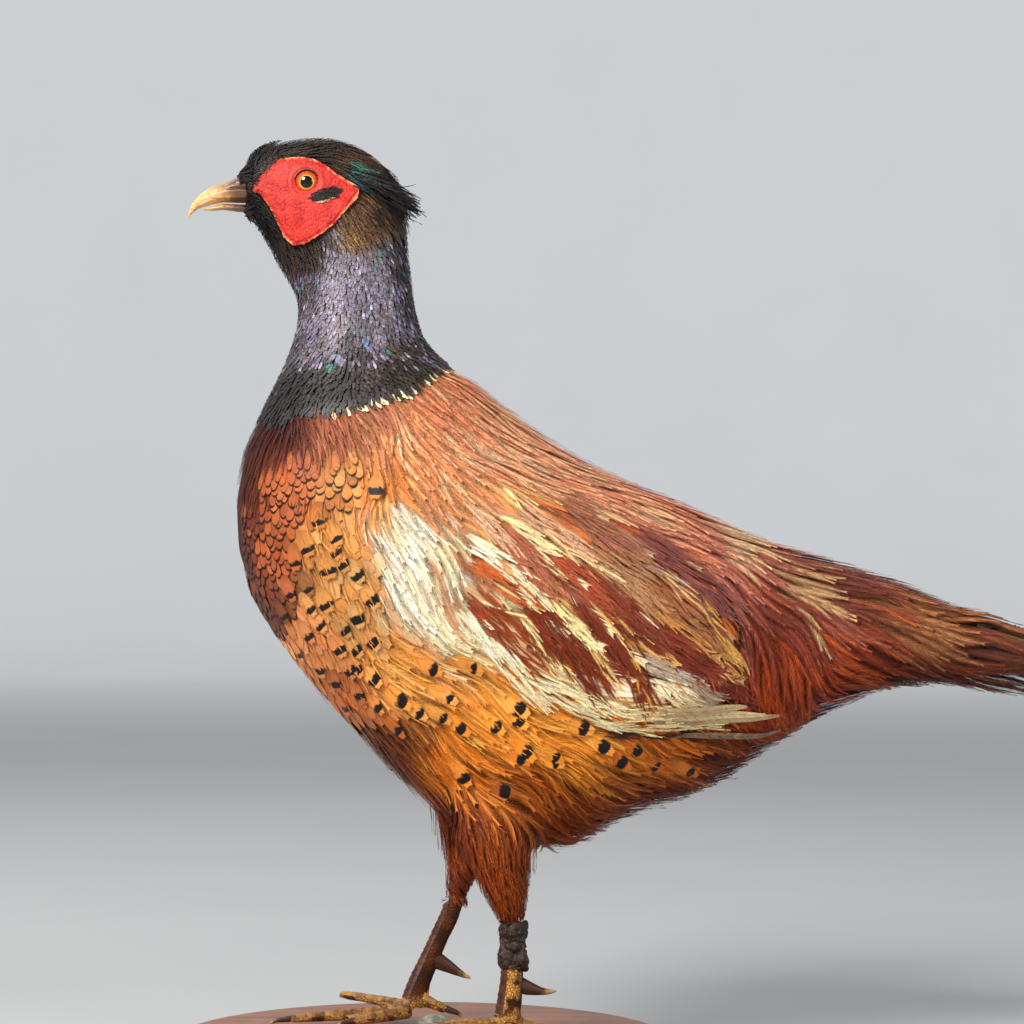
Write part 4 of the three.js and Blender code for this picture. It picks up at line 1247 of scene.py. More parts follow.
# %% Face patches
for side, hand in SIDES.items():
    face = copy_of([f"wattle_{side}"], f"face_{side}")
    modify(face, "REMESH", mode="VOXEL", voxel_size=0.42 * MM)
    modify(face, "SMOOTH", factor=0.5, iterations=5)
    spots, out = corners(face), corner_normals(face)
    from_eye = np.hypot(*(side_view(spots) - EYE[[0, 2]]).T)
    spots[:, 2] += LOWERED * np.exp(-(from_eye / 11) ** 4) * MM
    bird = to_bird(spots)
    where = bird[:, (0, 2)]
    from_eye = np.hypot(*(where - EYE[[0, 2]]).T)
    grains = np.array([noise.voronoi(Vector(p) / GRAIN_PITCH)[0][0] for p in bird])
    height = (0.42 - grains) * 0.5 * np.clip((from_eye - 8.5) / 3, 0.1, 1)
    height += 0.4 * np.exp(-((from_eye - 8.4) / 0.9) ** 2)
    low_front = np.clip(((EYE[0] - where[:, 0]) + (EYE[2] - where[:, 1])) / 8, 0, 1)
    height += 0.25 * np.exp(-((from_eye - 10.8) / 0.8) ** 2) * low_front
    height += swelling(where, GAPE, 2.6, 1.3)
    ragged = np.array([noise.noise(Vector(p) / 2.6) for p in bird])
    border = beside_outline(where, WATTLE_OUTLINE)
    height -= np.clip(2.1 - border / 1.1, 0, 2) * np.clip(0.75 + 1.5 * ragged, 0.2, 1.6)
    height *= np.clip(out[:, 1] * hand * 1.6, 0, 1)
    set_corners(face, spots + out * height[:, None] * MM)
    smooth_shade(face)
    rim = np.clip(1.2 - border / 1.2, 0, 1)
    rim *= np.clip((where[:, 0] + 86) / 14, 0, 1)
    pink = np.exp(-((from_eye - 8.6) / 1.1) ** 2) * 0.5 + swelling(where, GAPE, 2.6, 0.8)
    paint(face.data, "Rim", np.c_[rim, np.clip(pink, 0, 1), rim * 0])
    finish_piece(face, red_face, "red_skin", f"wattle_{side}")

# %% [markdown]
# ## Glass eyes
# A glass eye is a clear dome over a painted iris. The rings are drawn by distance from the eye's own axis,
# which is the same on both sides: a black pupil, a thin yellow ring, then orange running to red, with fine
# rays. The clear coat on top gives the sharp highlight. A narrow dark lid ring closes the join with the skin.

# %% The glass and its rings


def from_eye_axis(net):
    x, _, z = net.split(net.place())
    axis = to_frame([EYE])[0] / MM
    x = net.minus(x, float(axis[0]))
    z = net.minus(z, float(axis[2]))
    away = net.math("SQRT", net.math("ADD", net.math("POWER", x, 2.0), net.math("POWER", z, 2.0)))
    return away, net.math("ARCTAN2", z, x)


PUPIL, YELLOW, IRIS = 3.25, 3.8, 6.0


def iris_colour(net):
    away, turn = from_eye_axis(net)
    rays = net.noise(net.join(net.times(turn, 9.0), net.times(away, 0.5)), 1.0, 2.0)
    iris = net.blend(net.ramp(away, YELLOW, IRIS), "e2561a", "a32c14")
    iris = net.blend(net.ramp(rays, 0.4, 0.65, 0.0, 0.3), iris, "f58f3c")
    iris = net.blend(net.ramp(away, YELLOW - 0.25, YELLOW + 0.25, 1.0, 0.0), iris, "dda236")
    iris = net.blend(net.ramp(away, IRIS - 0.2, IRIS + 0.5), iris, "3b120b")
    return net.blend(net.ramp(away, PUPIL - 0.1, PUPIL + 0.15, 1.0, 0.0), iris, "050404")


glass = shader("glass eye", iris_colour, Roughness=0.4, Specular_IOR_Level=0.0, Coat_Weight=1.0,
               Coat_Roughness=0.0)


def lid_colour(net):
    away, _ = from_eye_axis(net)
    dark = net.ramp(net.times_plus(net.noise(net.place(), 1.5, 2.0), 0.8, away), 7.0, 7.7, 1.0, 0.0)
    return net.blend(dark, "a83a33", "1e0c0a")


lid_skin = shader("lid skin", lid_colour, height=bumps(2.0, 2.0), depth=0.1, Roughness=0.4)

# %% [markdown]
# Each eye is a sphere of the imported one's size, and its lid a thin torus round it, made slightly uneven.

# %% Eyes and lids
LID_OUT = 4.15  # from the eye's middle to the lid's
LID_RADIUS = 6.85


def rest_at_origin(piece):
    only(piece)
    bpy.ops.object.transform_apply(location=True, rotation=True, scale=True)


for side, hand in SIDES.items():
    middle = to_frame([(EYE[0], hand * abs(EYE[1]), EYE[2])])[0]
    bpy.ops.object.select_all(action="DESELECT")
    bpy.ops.mesh.primitive_uv_sphere_add(segments=48, ring_count=32, radius=EYE_RADIUS * MM, location=middle,
                                         rotation=(math.pi / 2, 0, 0))
    eye = bpy.context.object
    eye.name = f"glass_{side}"
    rest_at_origin(eye)
    smooth_shade(eye)
    finish_piece(eye, glass, "glass_eye", f"eye_{side}")
    bpy.ops.object.select_all(action="DESELECT")
    bpy.ops.mesh.primitive_torus_add(major_segments=56, minor_segments=14, major_radius=LID_RADIUS * MM,
                                     minor_radius=0.75 * MM, location=middle + (0, hand * LID_OUT * MM, 0),
                                     rotation=(math.pi / 2, 0, 0))
    lid = bpy.context.object
    lid.name = f"lid_{side}"
    rest_at_origin(lid)
    spots = corners(lid)
    wobble = np.array([noise.noise(Vector(p * 400)) for p in spots])
    set_corners(lid, spots + corner_normals(lid) * wobble[:, None] * 0.25 * MM)
    smooth_shade(lid)
    finish_piece(lid, lid_skin, "red_skin")

# %% [markdown]
# ## The bill
# Both halves are dry horn: pale straw at the tip, browner and duller at the root, with fine streaks along
# their length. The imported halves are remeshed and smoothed. A soft flap swells over each nostril, with a slit
# below.

# %% Bill
NOSTRIL = (-98.5, 445.6)
FLAP = (-97, 449.2)
BILL_ROOT = -97.5


def horn_colour(net):
    x = net.split(net.place())[0]
    streak = net.noise(net.place((0.12, 1.0, 1.0)), 1.3, 3.0)
    patch = net.noise(net.place(), 0.35, 3.0)
    worn = net.times_plus(patch, 14.0, x)
    colour = net.blend(net.ramp(worn, -112.0, -88.0), "eeb876", "9a6636")
    colour = net.blend(net.ramp(streak, 0.5, 0.66, 0.0, 0.6), colour, "7d5834")
    colour = net.blend(net.ramp(patch, 0.58, 0.7, 0.0, 0.6), colour, "f4e0b6")
    ridge = net.ramp(net.times_plus(streak, 4.0, net.split(net.place())[2]), 466.0, 470.0, 0.0, 0.7)
    colour = net.blend(ridge, colour, "8a5a30")
    return net.blend(net.ramp(worn, -100.0, -90.0, 0.0, 0.85), colour, "4b3624")


bill_horn = shader("bill horn", horn_colour, height=bumps(2.0, 2.0, (0.15, 1, 1)), depth=0.08, Roughness=0.36)
for half in ("upper", "lower"):
    bill = copy_of([f"bill_{half}"], f"horn_bill_{half}")
    modify(bill, "REMESH", mode="VOXEL", voxel_size=0.38 * MM)
    modify(bill, "SMOOTH", factor=0.5, iterations=6)
    spots, out = corners(bill), corner_normals(bill)
    where = to_bird(spots)[:, (0, 2)]
    spots[:, 0] += np.clip((where[:, 0] - BILL_ROOT) / 2, 0, 1) * 6 * MM
    set_corners(bill, spots)
    if half == "upper":
        height = swelling(where * (0.62, 1), np.array(FLAP) * (0.62, 1), 2.1, 0.9)
        slit = np.abs(where - NOSTRIL) / (3.4, 0.75)
        height -= 1.5 * np.exp(-(slit ** 2).sum(1) ** 1.5)
        sideways = np.clip(np.abs(out[:, 1]) * 1.5, 0, 1)
        set_corners(bill, spots + out * (height * sideways)[:, None] * MM)
    smooth_shade(bill)
    finish_piece(bill, bill_horn, "horn", f"bill_{half}")

# %% [markdown]
# ## The ear tufts and the head's loose feathers
# A cock has a tuft of long narrow feathers behind each ear, green and blue black. They are laid as a bundle
# along the imported tuft's line, each a little apart from the others. Only those that start at its front end
# take the green and blue inks, which paint the tuft's sheen, among their dark ones; the others are black.

# %% Ear tufts
TUFT_LINE = np.array([(-36, 12.5, 453), (-25, 14.5, 448), (-12, 14.5, 440.5), (-1, 13, 434)], float)
# The green and blue inks are painted sheen; the dark ones are the tuft's own black.
TUFT_INKS = "14100f 1e6248 154d38 2a7258 23466e 14100f 1c1613"


def along_line(line, t):
    """Places on a line of points, at t from 0 to 1 along it."""
    return np.stack([np.interp(t, np.linspace(0, 1, len(line)), line[:, i]) for i in range(3)], -1)


def ear_tuft(side, count=210):
    hand, rows = SIDES[side], KINDS["spike"]["rows"]
    begin = rng.uniform(-0.25, 0.62, count)
    stretch = rng.uniform(0.24, 0.44, count)
    steps = np.linspace(0, 1, rows + 1)[None]
    line = along_line(TUFT_LINE, begin[:, None] + stretch[:, None] * steps)
    spread = rng.normal(0, 1, (count, 3)) * (1.5, 0.9, 3.0)
    splay = rng.normal(0, 1, (count, 3)) * (1.0, 0.9, 1.8)
    line += spread[:, None] + splay[:, None] * steps[..., None] ** 1.5
    line[..., 1] *= hand
    shaft = to_frame(line)
    heading = unit(np.gradient(shaft, axis=1))
    up = unit(rng.normal(0, 0.35, (count, 1, 3)) + (0, hand, 0.35)) * np.ones((1, rows + 1, 1))
    up = unit(up - heading * (up * heading).sum(2, keepdims=True))
    long = np.linalg.norm(np.diff(shaft, axis=1), axis=2).sum(1) / MM
    facts = single(count, long, rng.uniform(1.6, 2.8, count), TUFT_INKS, "2c6a63", coat=0.6, rough=0.35)
    painted_sheen = (begin < 0.02)[:, None]
    facts["ink"] = np.where(painted_sheen, facts["ink"], vary(np.tile(srgb("16110f"), (count, 1)), 0.2))
    facts["edge"] = np.where(painted_sheen, facts["edge"], srgb("241a14"))
    return grow("spike", shaft, up, np.cross(up, heading), facts, unwrap[settle(shaft[:, 0])[2]])

# %% [markdown]
# A small black patch crosses the red face below the eye, with a few pale tips under it. Narrow feathers lie
# over the face's border where the plumage runs onto it, and short ones run forwards over the bill's root.

# %% Round the face and the bill
RIM_MIDDLE = WATTLE_OUTLINE.mean(0)
BILL_BORDERS = [((-94, 449), (-88, 458), (-1.0, -0.12), 60), ((-93, 428), (-87, 438), (-0.9, -0.3), 50)]


def one_lie(kind, lie, count):
    return np.tile(unit(np.array(lie)), (count, KINDS[kind]["rows"] + 1, 1))


def eye_patch(side, count=130):
    turn, away = rng.uniform(0, 2 * math.pi, count), np.sqrt(rng.uniform(0, 1, count))
    patch = np.stack([np.cos(turn) * away * 8.2, np.sin(turn) * away * 3.1], 1)
    slope = math.radians(16)
    patch = patch @ np.array([(math.cos(slope), math.sin(slope)), (-math.sin(slope), math.cos(slope))])
    facts = single(count, 4.2, 1.1, "0e0b0a 1a1412", "0e0b0a", coat=0.5, rise=1.7, rough=0.3)
    facts["ink"][away * np.sin(turn) < -0.8] = srgb("d9b48a")
    return lay("down", seen_from(side, patch + (-52.3, 440.8)), facts, one_lie("down", (1.0, 0.12), count))


def face_border(side, each=22):
    rim_at = np.repeat(WATTLE_OUTLINE, each, 0)
    rim_at = mix(rim_at, np.roll(rim_at, -each, 0), rng.random((len(rim_at), 1)))
    rim_at = rim_at + rng.normal(0, 0.5, rim_at.shape)
    runs_on = ((RIM_MIDDLE - rim_at) * lie_at(rim_at)).sum(1) > -6
    rim_at = rim_at[runs_on] - lie_at(rim_at[runs_on]) * rng.uniform(0.5, 3, (runs_on.sum(), 1))
    facts = single(len(rim_at), rng.uniform(3.2, 5.6, len(rim_at)), 0.9, "14100e 0e0c0b 2c2018 4a3420",
                   "2a1e16", coat=0.7, rise=1.3, rough=0.5)
    return lay("down", seen_from(side, rim_at), facts)


def bill_border(side, low, high, lie, count):
    facts = single(count, rng.uniform(5, 8.5, count), 1.5, "14100e 0d0b0a 2a1f18", "0d0b0a",
                   coat=0.8, rise=1.2, rough=0.5, cling=0.15)
    spots = seen_from(side, rng.uniform(low, high, (count, 2)))
    return lay("down", spots, facts, one_lie("down", lie, count))

# %% [markdown]
# The forehead's feathers stand up in a fan, and long ragged ones hang at the nape.

# %% Forehead, nape and the whole piece


def forehead(side, count=90):
    facts = single(count, rng.uniform(6, 11, count), 1.6, "14100e 0d0b0a 241b16", "3a2c20",
                   coat=2.0, rise=0.4, rough=0.6, cling=0.35)
    spots = seen_from(side, rng.uniform((-94, 455), (-80, 466), (count, 2)))
    lies = unit(one_lie("spike", (0.25, 1.0), count) + rng.normal(0, 0.25, (count, 1, 2)))
    return lay("spike", spots, facts, lies)


def nape(side, count=150):
    facts = single(count, rng.uniform(9, 15, count), 2.0, "14100f 1c1512 2e221a", "2e221a",
                   coat=2.5, rough=0.6, cling=rng.uniform(0.1, 0.5, count))
    return lay("spike", seen_from(side, rng.uniform((-30, 432), (-9, 460), (count, 2))), facts)


head_parts = []
for side in SIDES:
    head_parts += [ear_tuft(side), eye_patch(side), face_border(side)]
    head_parts += [bill_border(side, *border) for border in BILL_BORDERS]
    head_parts += [forehead(side), nape(side)]
finish_piece(coat_piece("head_plumes", head_parts), dark_plumage, "dark_plumage",
             "ear_tuft_left", "ear_tuft_right")

# %% [markdown]
# ## The folded wing
# On a folded wing the long feathers lie in overlapping rows, all slanting down towards the tail. The upper
# ones are chestnut with cream margins, and the flight feathers below them are stiff and pale. Each row of the
# table gives where a feather leaves the coat, where it ends, how wide it is, and its colours. Both wings have
# the same.

# %% Wing feathers
CHESTNUT, CREAM, GOLD = "7a2c16", "f0dcae", "d9a15c"
WING_FEATHERS = [  # (root x, z), (tip x, z), width, ink, edge, fringe
    ((66, 282), (92, 262), 9.1, "c0714a", "e9c896", 0.2),
    ((34, 280), (60, 260), 9.1, "c47f55", CREAM, 0.25),
    ((20, 268), (52, 243), 11.7, "c98a5c", GOLD, 0.2),
    ((56, 274), (90, 250), 10.4, "b5683f", CREAM, 0.35),
    ((26, 256), (58, 228), 11.7, "96401f", CREAM, 0.3),
    ((48, 262), (84, 234), 11.7, "a85230", CREAM, 0.3),
    ((84, 268), (116, 246), 11.7, "9c5f4e", "dcb58c", 0.25),
    ((112, 262), (142, 240), 11.7, "8d5548", "c99c78", 0.2),
    ((22, 240), (54, 206), 13, "d9a878", GOLD, 0.15),
    ((38, 246), (75, 211), 13, CHESTNUT, CREAM, 0.28),
    ((66, 248), (104, 218), 13, "8a3a20", CREAM, 0.3),
    ((92, 250), (128, 222), 13, "8a4a3a", GOLD, 0.22),
    ((120, 250), (152, 224), 13, "83493f", GOLD, 0.18),
    ((28, 224), (66, 188), 14.3, "d9a878", GOLD, 0.2),
    ((52, 228), (84, 193), 15.6, "7d3018", CREAM, 0.3),
    ((76, 232), (118, 200), 14.3, "6c2412", CREAM, 0.26),
    ((104, 234), (142, 206), 14.3, "7c3826", GOLD, 0.24),
    ((132, 236), (160, 208), 13, "7a3a2c", "c08a54", 0.2),
    ((60, 214), (104, 179), 18.2, "6a200f", CREAM, 0.2),
    ((84, 220), (132, 186), 16.9, "6a220f", CREAM, 0.22),
    ((108, 222), (150, 192), 15.6, "742a16", GOLD, 0.22),
    ((134, 220), (164, 190), 14.3, "7c3420", "c8924e", 0.25),
    ((92, 206), (140, 178), 15.6, "6e2412", GOLD, 0.2),
    ((118, 206), (164, 180), 15.6, "702815", "d0a060", 0.2),
]
FLIGHT_FEATHERS = [
    ((54, 198), (112, 176), 11, "f3e3bc", "fbf3dc", 0.0),
    ((66, 192), (128, 171), 11, "eed6a4", "f8ecc8", 0.0),
    ((80, 187), (142, 167), 11, "e8cc96", "f6e6bc", 0.0),
    ((96, 183), (153, 163), 10, "e2c694", "f3dfb4", 0.0),
    ((108, 200), (151, 179), 12, "b9a288", "e6d3b2", 0.0),
    ((118, 190), (156, 170), 11, "cbb596", "e6d3b2", 0.0),
]
PRIMARIES = [
    ((104, 178), (170, 162), 6.5, "b4966a", "ecd9ae", 0.0),
    ((112, 173), (180, 158), 6, "c9ad7c", "f3e2b8", 0.0),
    ((120, 168), (187, 154.5), 6, "a98c62", "f3e2b8", 0.0),
    ((126, 161), (189, 151.5), 5, "6d5238", "e6d0a0", 0.0),
]


def laid_feathers(side, table, kind, coat, rise, rough):
    roots_at = np.array([row[0] for row in table], float)
    tips_at = np.array([row[1] for row in table], float)
    lies, long = straight(kind, roots_at, tips_at)
    bow = np.linspace(0.09, -0.12, KINDS[kind]["rows"] + 1)[None, :, None]
    lies = unit(lies + np.stack([-lies[..., 1], lies[..., 0]], 2) * -bow)
    facts = single(len(table), long, [row[2] for row in table], "000000", "000000", coat=coat, rough=rough,
                   rise=rise + 0.22 * np.arange(len(table)) / len(table), fringe=[row[5] for row in table])
    facts["ink"] = vary(np.array([srgb(row[3]) for row in table]), 0.06)
    facts["edge"] = vary(np.array([srgb(row[4]) for row in table]), 0.05)
    return lay(kind, seen_from(side, roots_at), facts, lies)

# %% [markdown]
# Over the broad feathers the wing shows cream and chestnut streaks, because each barb is coloured for itself.
# The table draws the streaks as lines, and loose barbs are strewn along them, each with the nearest streak's
# ink.

# %% Streaks on the wing
WING_STREAKS = [  # from x, z to x, z, half its width, and its colour
    (44, 269, 69, 252, 2.9, "fbe2a4"), (31, 256, 48, 244, 3.4, "fff2d2"), (44, 246, 63, 232, 3.4, "ffeebb"),
    (63, 232, 85, 211, 2.5, "ffe6a2"), (41, 237, 59, 224, 2.1, "fad58c"), (33, 228, 51, 221, 1.2, "f6dc9c"),
    (51, 223, 67, 200, 1.5, "f2d595"), (57, 251, 69, 244, 1.9, "f3d6a0"), (80, 236, 89, 225, 2, "f0cc84"),
    (89, 225, 105, 207, 2.1, "ecc070"), (105, 207, 117, 180, 2.7, "d99a42"),
    (93, 235, 118, 219, 1.7, "f3d898"), (105, 217, 126, 197, 1.3, "e0a860"),
    (69, 259, 100, 241, 1.9, "ecc68e"), (123, 242, 145, 224, 1.7, "e8b878"),
    (145, 224, 163, 196, 2.9, "d9a050"), (126, 221, 158, 196, 2.4, "c98a48"),
    (31, 216, 45, 200, 5.6, "fff0cc"), (45, 200, 61, 183, 5.3, "fee6b4"), (66, 201, 84, 184, 3.2, "fcd892"),
    (89, 203, 97, 189, 1.7, "e2b06a"), (61, 189, 97, 171, 5.6, "fee9b6"),
    (97, 171, 147, 167, 5.3, "f8dca0"), (117, 188, 147, 174, 4.8, "fbe3b0"),
    (122, 195, 147, 182, 4.5, "b8a08a"), (157, 233, 163, 203, 1.3, "1a0e0a"),
    (154, 221, 162, 207, 1.7, "b4581c"), (153, 178, 169, 173, 2.3, "120c0a"),
    (102, 161, 150, 158, 1.5, "2a1410"), (110, 203, 117, 189, 2.3, "2e140c"),
    (31, 245, 55, 228, 4, "c4602c"), (33, 224, 59, 200, 6.4, "943a14"), (59, 224, 89, 188, 6.9, "7c2c0c"),
    (89, 219, 116, 183, 6.4, "7c2c10"), (44, 264, 67, 233, 4.8, "b8694a"),
    (68, 249, 94, 228, 4.8, "ab4a2c"), (94, 237, 123, 209, 4.8, "8a3a24"),
    (110, 215, 165, 180, 5.3, "7c2e1a"), (97, 254, 123, 237, 5.3, "b07a56"),
    (81, 273, 105, 252, 5.3, "a86a50"), (122, 254, 158, 225, 5.8, "8c4c44"),
    (116, 241, 150, 207, 5.3, "a8683c"), (88, 250, 116, 228, 4.5, "c08a5c"),
    (117, 245, 133, 238, 0.9, "9a8498"), (31, 273, 47, 257, 4, "e2ae86"), (55, 273, 81, 254, 4, "dda880"),
]
STREAK_LINES = np.array([row[:5] for row in WING_STREAKS], float)
STREAK_INKS = np.array([srgb(row[5]) for row in WING_STREAKS])


def nearest_streak(where):
    """Which streak covers a place best, and how far the place is from its line, over its half width."""
    a, b, half = STREAK_LINES[:, 0:2], STREAK_LINES[:, 2:4], STREAK_LINES[:, 4]
    p = where[:, None]
    t = np.clip(((p - a) * (b - a)).sum(2) / ((b - a) ** 2).sum(1), 0, 1)[..., None]
    away = np.linalg.norm(p - (a + (b - a) * t), axis=2) / half
    return away.argmin(1), away.min(1)


def streaked_barbs(side, count=1380):
    """Loose barbs that run along the streaks, over the broad feathers."""
    where = rng.uniform((24, 158), (172, 282), (count * 3, 2))
    pick, away = nearest_streak(where)
    chosen = np.nonzero(away < 1.15)[0][:count]
    where, pick = where[chosen], pick[chosen]
    path = unit(STREAK_LINES[pick, 2:4] - STREAK_LINES[pick, 0:2])
    path = unit(path + rng.normal(0, 0.06, path.shape))
    long = np.minimum(rng.uniform(12, 21, len(where)), 2.4 * STREAK_LINES[pick, 4] + 9)
    facts = single(len(where), long, rng.uniform(2.2, 3.8, len(where)), "000000", "000000",
                   coat=2.0, rise=3.6, rough=0.15)
    facts["ink"] = vary(STREAK_INKS[nearest_streak(where + rng.normal(0, 0.5, where.shape))[0]], 0.13)
    facts["edge"] = facts["ink"] * 0.75
    lies = np.repeat(path[:, None], KINDS["hair"]["rows"] + 1, 1)
    return lay("hair", seen_from(side, where - path * long[:, None] * 0.5), facts, lies)


wing_parts, quill_parts, barb_parts = [], [], []
for side in SIDES:
    wing_parts.append(laid_feathers(side, WING_FEATHERS, "scapular", 3.4, 1.8, 0.25))
    barb_parts.append(streaked_barbs(side))
    quill_parts.append(laid_feathers(side, FLIGHT_FEATHERS, "quill", 3.0, 1.8, 0.08))
    quill_parts.append(laid_feathers(side, PRIMARIES, "quill", 3.4, 4.2, 0.08))
quill_plumage = plumage("flight feathers", 0.45, fineness=1.9, contrast=0.4, threads=1.2, dark=0.2,
                        shaft=-0.35)
finish_piece(coat_piece("wing_feathers", wing_parts), vane_plumage, "wing_plumage")
finish_piece(coat_piece("wing_barbs", barb_parts), wing_plumage, "wing_plumage")
finish_piece(coat_piece("flight_feathers", quill_parts), quill_plumage, "flight_feathers",
             "primaries_left", "primaries_right")

# %% [markdown]
# ## The tail
# Six pairs of long vanes lie over each other like roof tiles, the middle pair on top. They follow the packed
# blades exactly: the same ridge, slope and taper. Each is olive buff along its middle and rufous outside,
# with narrow black bars that bend back along the barbs, so the bars are drawn on the map that follows the
# barbs.

# %% Tail vanes
TAIL_LONG = 372
TAIL_SHARES = (1, 0.92, 0.76, 0.6, 0.46, 0.34)
TAIL_FALL = 14.4  # degrees below level, towards the tip
TAIL_LAYER = 1.1  # from one pair down to the next
HIDDEN = 24  # how much of each vane is under the rump
TAIL_TOP = 218
TAIL_START = to_bird([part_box("tail_left_1")[1]])[0, 0] - TAIL_LONG


def tail_vane(side, pair):
    kind, hand = "tail", SIDES[side]
    rows = KINDS[kind]["rows"]
    long = TAIL_LONG * TAIL_SHARES[pair]
    run = np.linspace(-HIDDEN, long, rows + 1)
    share = np.clip(run / TAIL_LONG, 0, 1)
    slope = np.radians(mix(56, 24, share ** 2 * (3 - 2 * share)))
    drop = math.tan(math.radians(TAIL_FALL)) * run + 6 * share ** 2
    ridge = np.stack([TAIL_START + run, run * 0, TAIL_TOP - drop], 1)
    down = np.stack([run * 0, np.cos(slope), -np.sin(slope)], 1)
    inward = np.stack([run * 0, -np.sin(slope), -np.cos(slope)], 1)
    wide = mix(34, 30, pair / 5)
    half = outline_of(kind, (run + HIDDEN) / (long + HIDDEN)) * wide / 2 * KINDS[kind]["share"]
    inner = pair * TAIL_LAYER * np.tan(slope)
    middle = ridge + down * (inner + half)[:, None] + inward * (pair * TAIL_LAYER + 0.2)
    flip = np.array([1, hand, 1])
    shaft, up, out = to_frame(middle * flip), -inward * flip, down * flip
    facts = single(1, long + HIDDEN, wide, "7d6a48", "8a4a2c", coat=0.0, rise=0.0, rough=0.12)
    return grow(kind, shaft[None], up[None], out[None] * hand, facts, unwrap[settle(shaft[:1])[2]])


def tail_colour(net):
    vane = net.map("Vane")
    barb = net.map("Barb")
    beside = net.math("ABSOLUTE", net.times_plus(vane[0], 2.0, -1.0))
    grain = net.noise(net.join(barb[0], net.times(barb[1], 0.08)), 1.0, 2.0)
    waver = net.times_plus(grain, 5.0, barb[0])
    step = net.math("FRACT", net.math("DIVIDE", waver, 19.0))
    barred = net.ramp(net.math("ABSOLUTE", net.minus(step, 0.5)), 0.07, 0.12, 1.0, 0.0)
    barred = net.times(barred, net.ramp(beside, 0.5, 0.85, 1.0, 0.15))
    patch = net.noise(net.join(net.times(barb[0], 0.06), net.times(barb[1], 0.2)), 1.0, 2.0)
    middle = net.blend(net.ramp(patch, 0.4, 0.6), "80683f", "5f4a2c")
    colour = net.blend(net.ramp(beside, 0.35, 0.8), middle, "74402a")
    colour = net.blend(net.ramp(grain, 0.5, 0.62, 0.0, 0.6), colour, "3c2418")
    colour = net.blend(barred, colour, "1a110c")
    return net.blend(net.ramp(beside, 0.02, 0.05, 0.8, 0.0), colour, "d8bb86")


def barb_height(net):
    barb = net.map("Barb")
    return net.noise(net.join(net.times(barb[0], 1.4), net.times(barb[1], 0.08)), 1.0, 2.0)


tail_plumage = shader("tail plumage", tail_colour, height=barb_height, depth=0.25, Roughness=0.5)
tail_parts = [tail_vane(side, pair) for side in SIDES for pair in range(len(TAIL_SHARES))]
finish_piece(coat_piece("tail_vanes", tail_parts), tail_plumage, "tail_feathers",
             *(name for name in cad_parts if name.startswith("tail_")))

# %% [markdown]
# ## Leg scales
# The front of a bird's shank and the tops of its toes carry a single row of broad plates, each overlapping
# the next towards the claw. Each plate is a small curved patch. Its corners are found by looking inwards at
# the leg from a fan of directions, so that it fits whatever is under it, and its lower rim stands free.

# %% Plates
PLATE_FAN = np.radians([-78, -60, -40, -20, 0, 20, 40, 60, 78])
PLATE_RISE = np.array([0.02, 0.16, 0.3, 0.42, 0.46, 0.1])
PLATE_STEPS = np.array([0.0, 0.3, 0.6, 0.85, 1.08, 1.1])


def centre_line(name, count):
    """Places along the middle of a long solid, from its upper or rear end."""
    spots = corners(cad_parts[name])
    middle = spots.mean(0)
    axis = np.linalg.svd(spots - middle, full_matrices=False)[2][0]
    along = (spots - middle) @ axis
    stations = np.linspace(along.min() * 0.97, along.max() * 0.97, count)
    near = np.exp(-((along[None] - stations[:, None]) / (np.ptp(along) / 9)) ** 2)
    line = near @ spots / near.sum(1, keepdims=True)
    return line if line[0, 2] + line[0, 0] > line[-1, 2] + line[-1, 0] else line[::-1]


def plate_row(line, face, reach=1.0):
    """Plates along a line, on the side of it that faces towards `face`."""
    made = []
    for here, there in zip(line[:-1], line[1:]):
        heading = unit(there - here)
        outward = unit(face - heading * (face @ heading))
        across = np.cross(outward, heading)
        grid = []
        for part, rise in zip(PLATE_STEPS, PLATE_RISE):
            middle = mix(here, there, part)
            for turn in PLATE_FAN * reach:
                ray = outward * math.cos(turn) + across * math.sin(turn)
                spot = tree.ray_cast((middle + ray * 0.012).tolist(), (-ray).tolist(), 0.012)[0]
                spot = np.array(spot) if spot else middle
                edge = max(0.2, math.cos(turn * 1.1 / reach)) ** 0.5
                grid.append(spot + ray * rise * edge * MM)
        made.append(grid)
    return made


def plates_piece(title, plates):
    wide, tall = len(PLATE_FAN), len(PLATE_STEPS)
    faces = [(i * wide + j, i * wide + j + 1, (i + 1) * wide + j + 1, (i + 1) * wide + j)
             for i in range(tall - 1) for j in range(wide - 1)]
    size = wide * tall
    mesh = bpy.data.meshes.new(title)
    mesh.from_pydata([tuple(p) for grid in plates for p in grid], [],
                     [[k * size + v for v in face] for k in range(len(plates)) for face in faces])
    flat = np.array([(j / (wide - 1), i / (tall - 1)) for i in range(tall) for j in range(wide)])
    loops = np.array([v for face in faces for v in face])
    uv = np.concatenate([flat[loops] + (k, 0) for k in range(len(plates))])
    mesh.uv_layers.new(name="Plate").data.foreach_set("uv", uv.astype(np.float32).ravel())
    piece = bpy.data.objects.new(title, mesh)
    show(piece)
    edit(piece, lambda: bpy.ops.mesh.normals_make_consistent(inside=False))
    smooth_shade(piece, 50)
    return piece

# %% [markdown]
# Each plate's own map begins at a whole number, so rounding down tells the plates apart and gives each its
# own tone. The toes' plates face up and the shanks' face forwards.

# %% The plates' colours and pieces


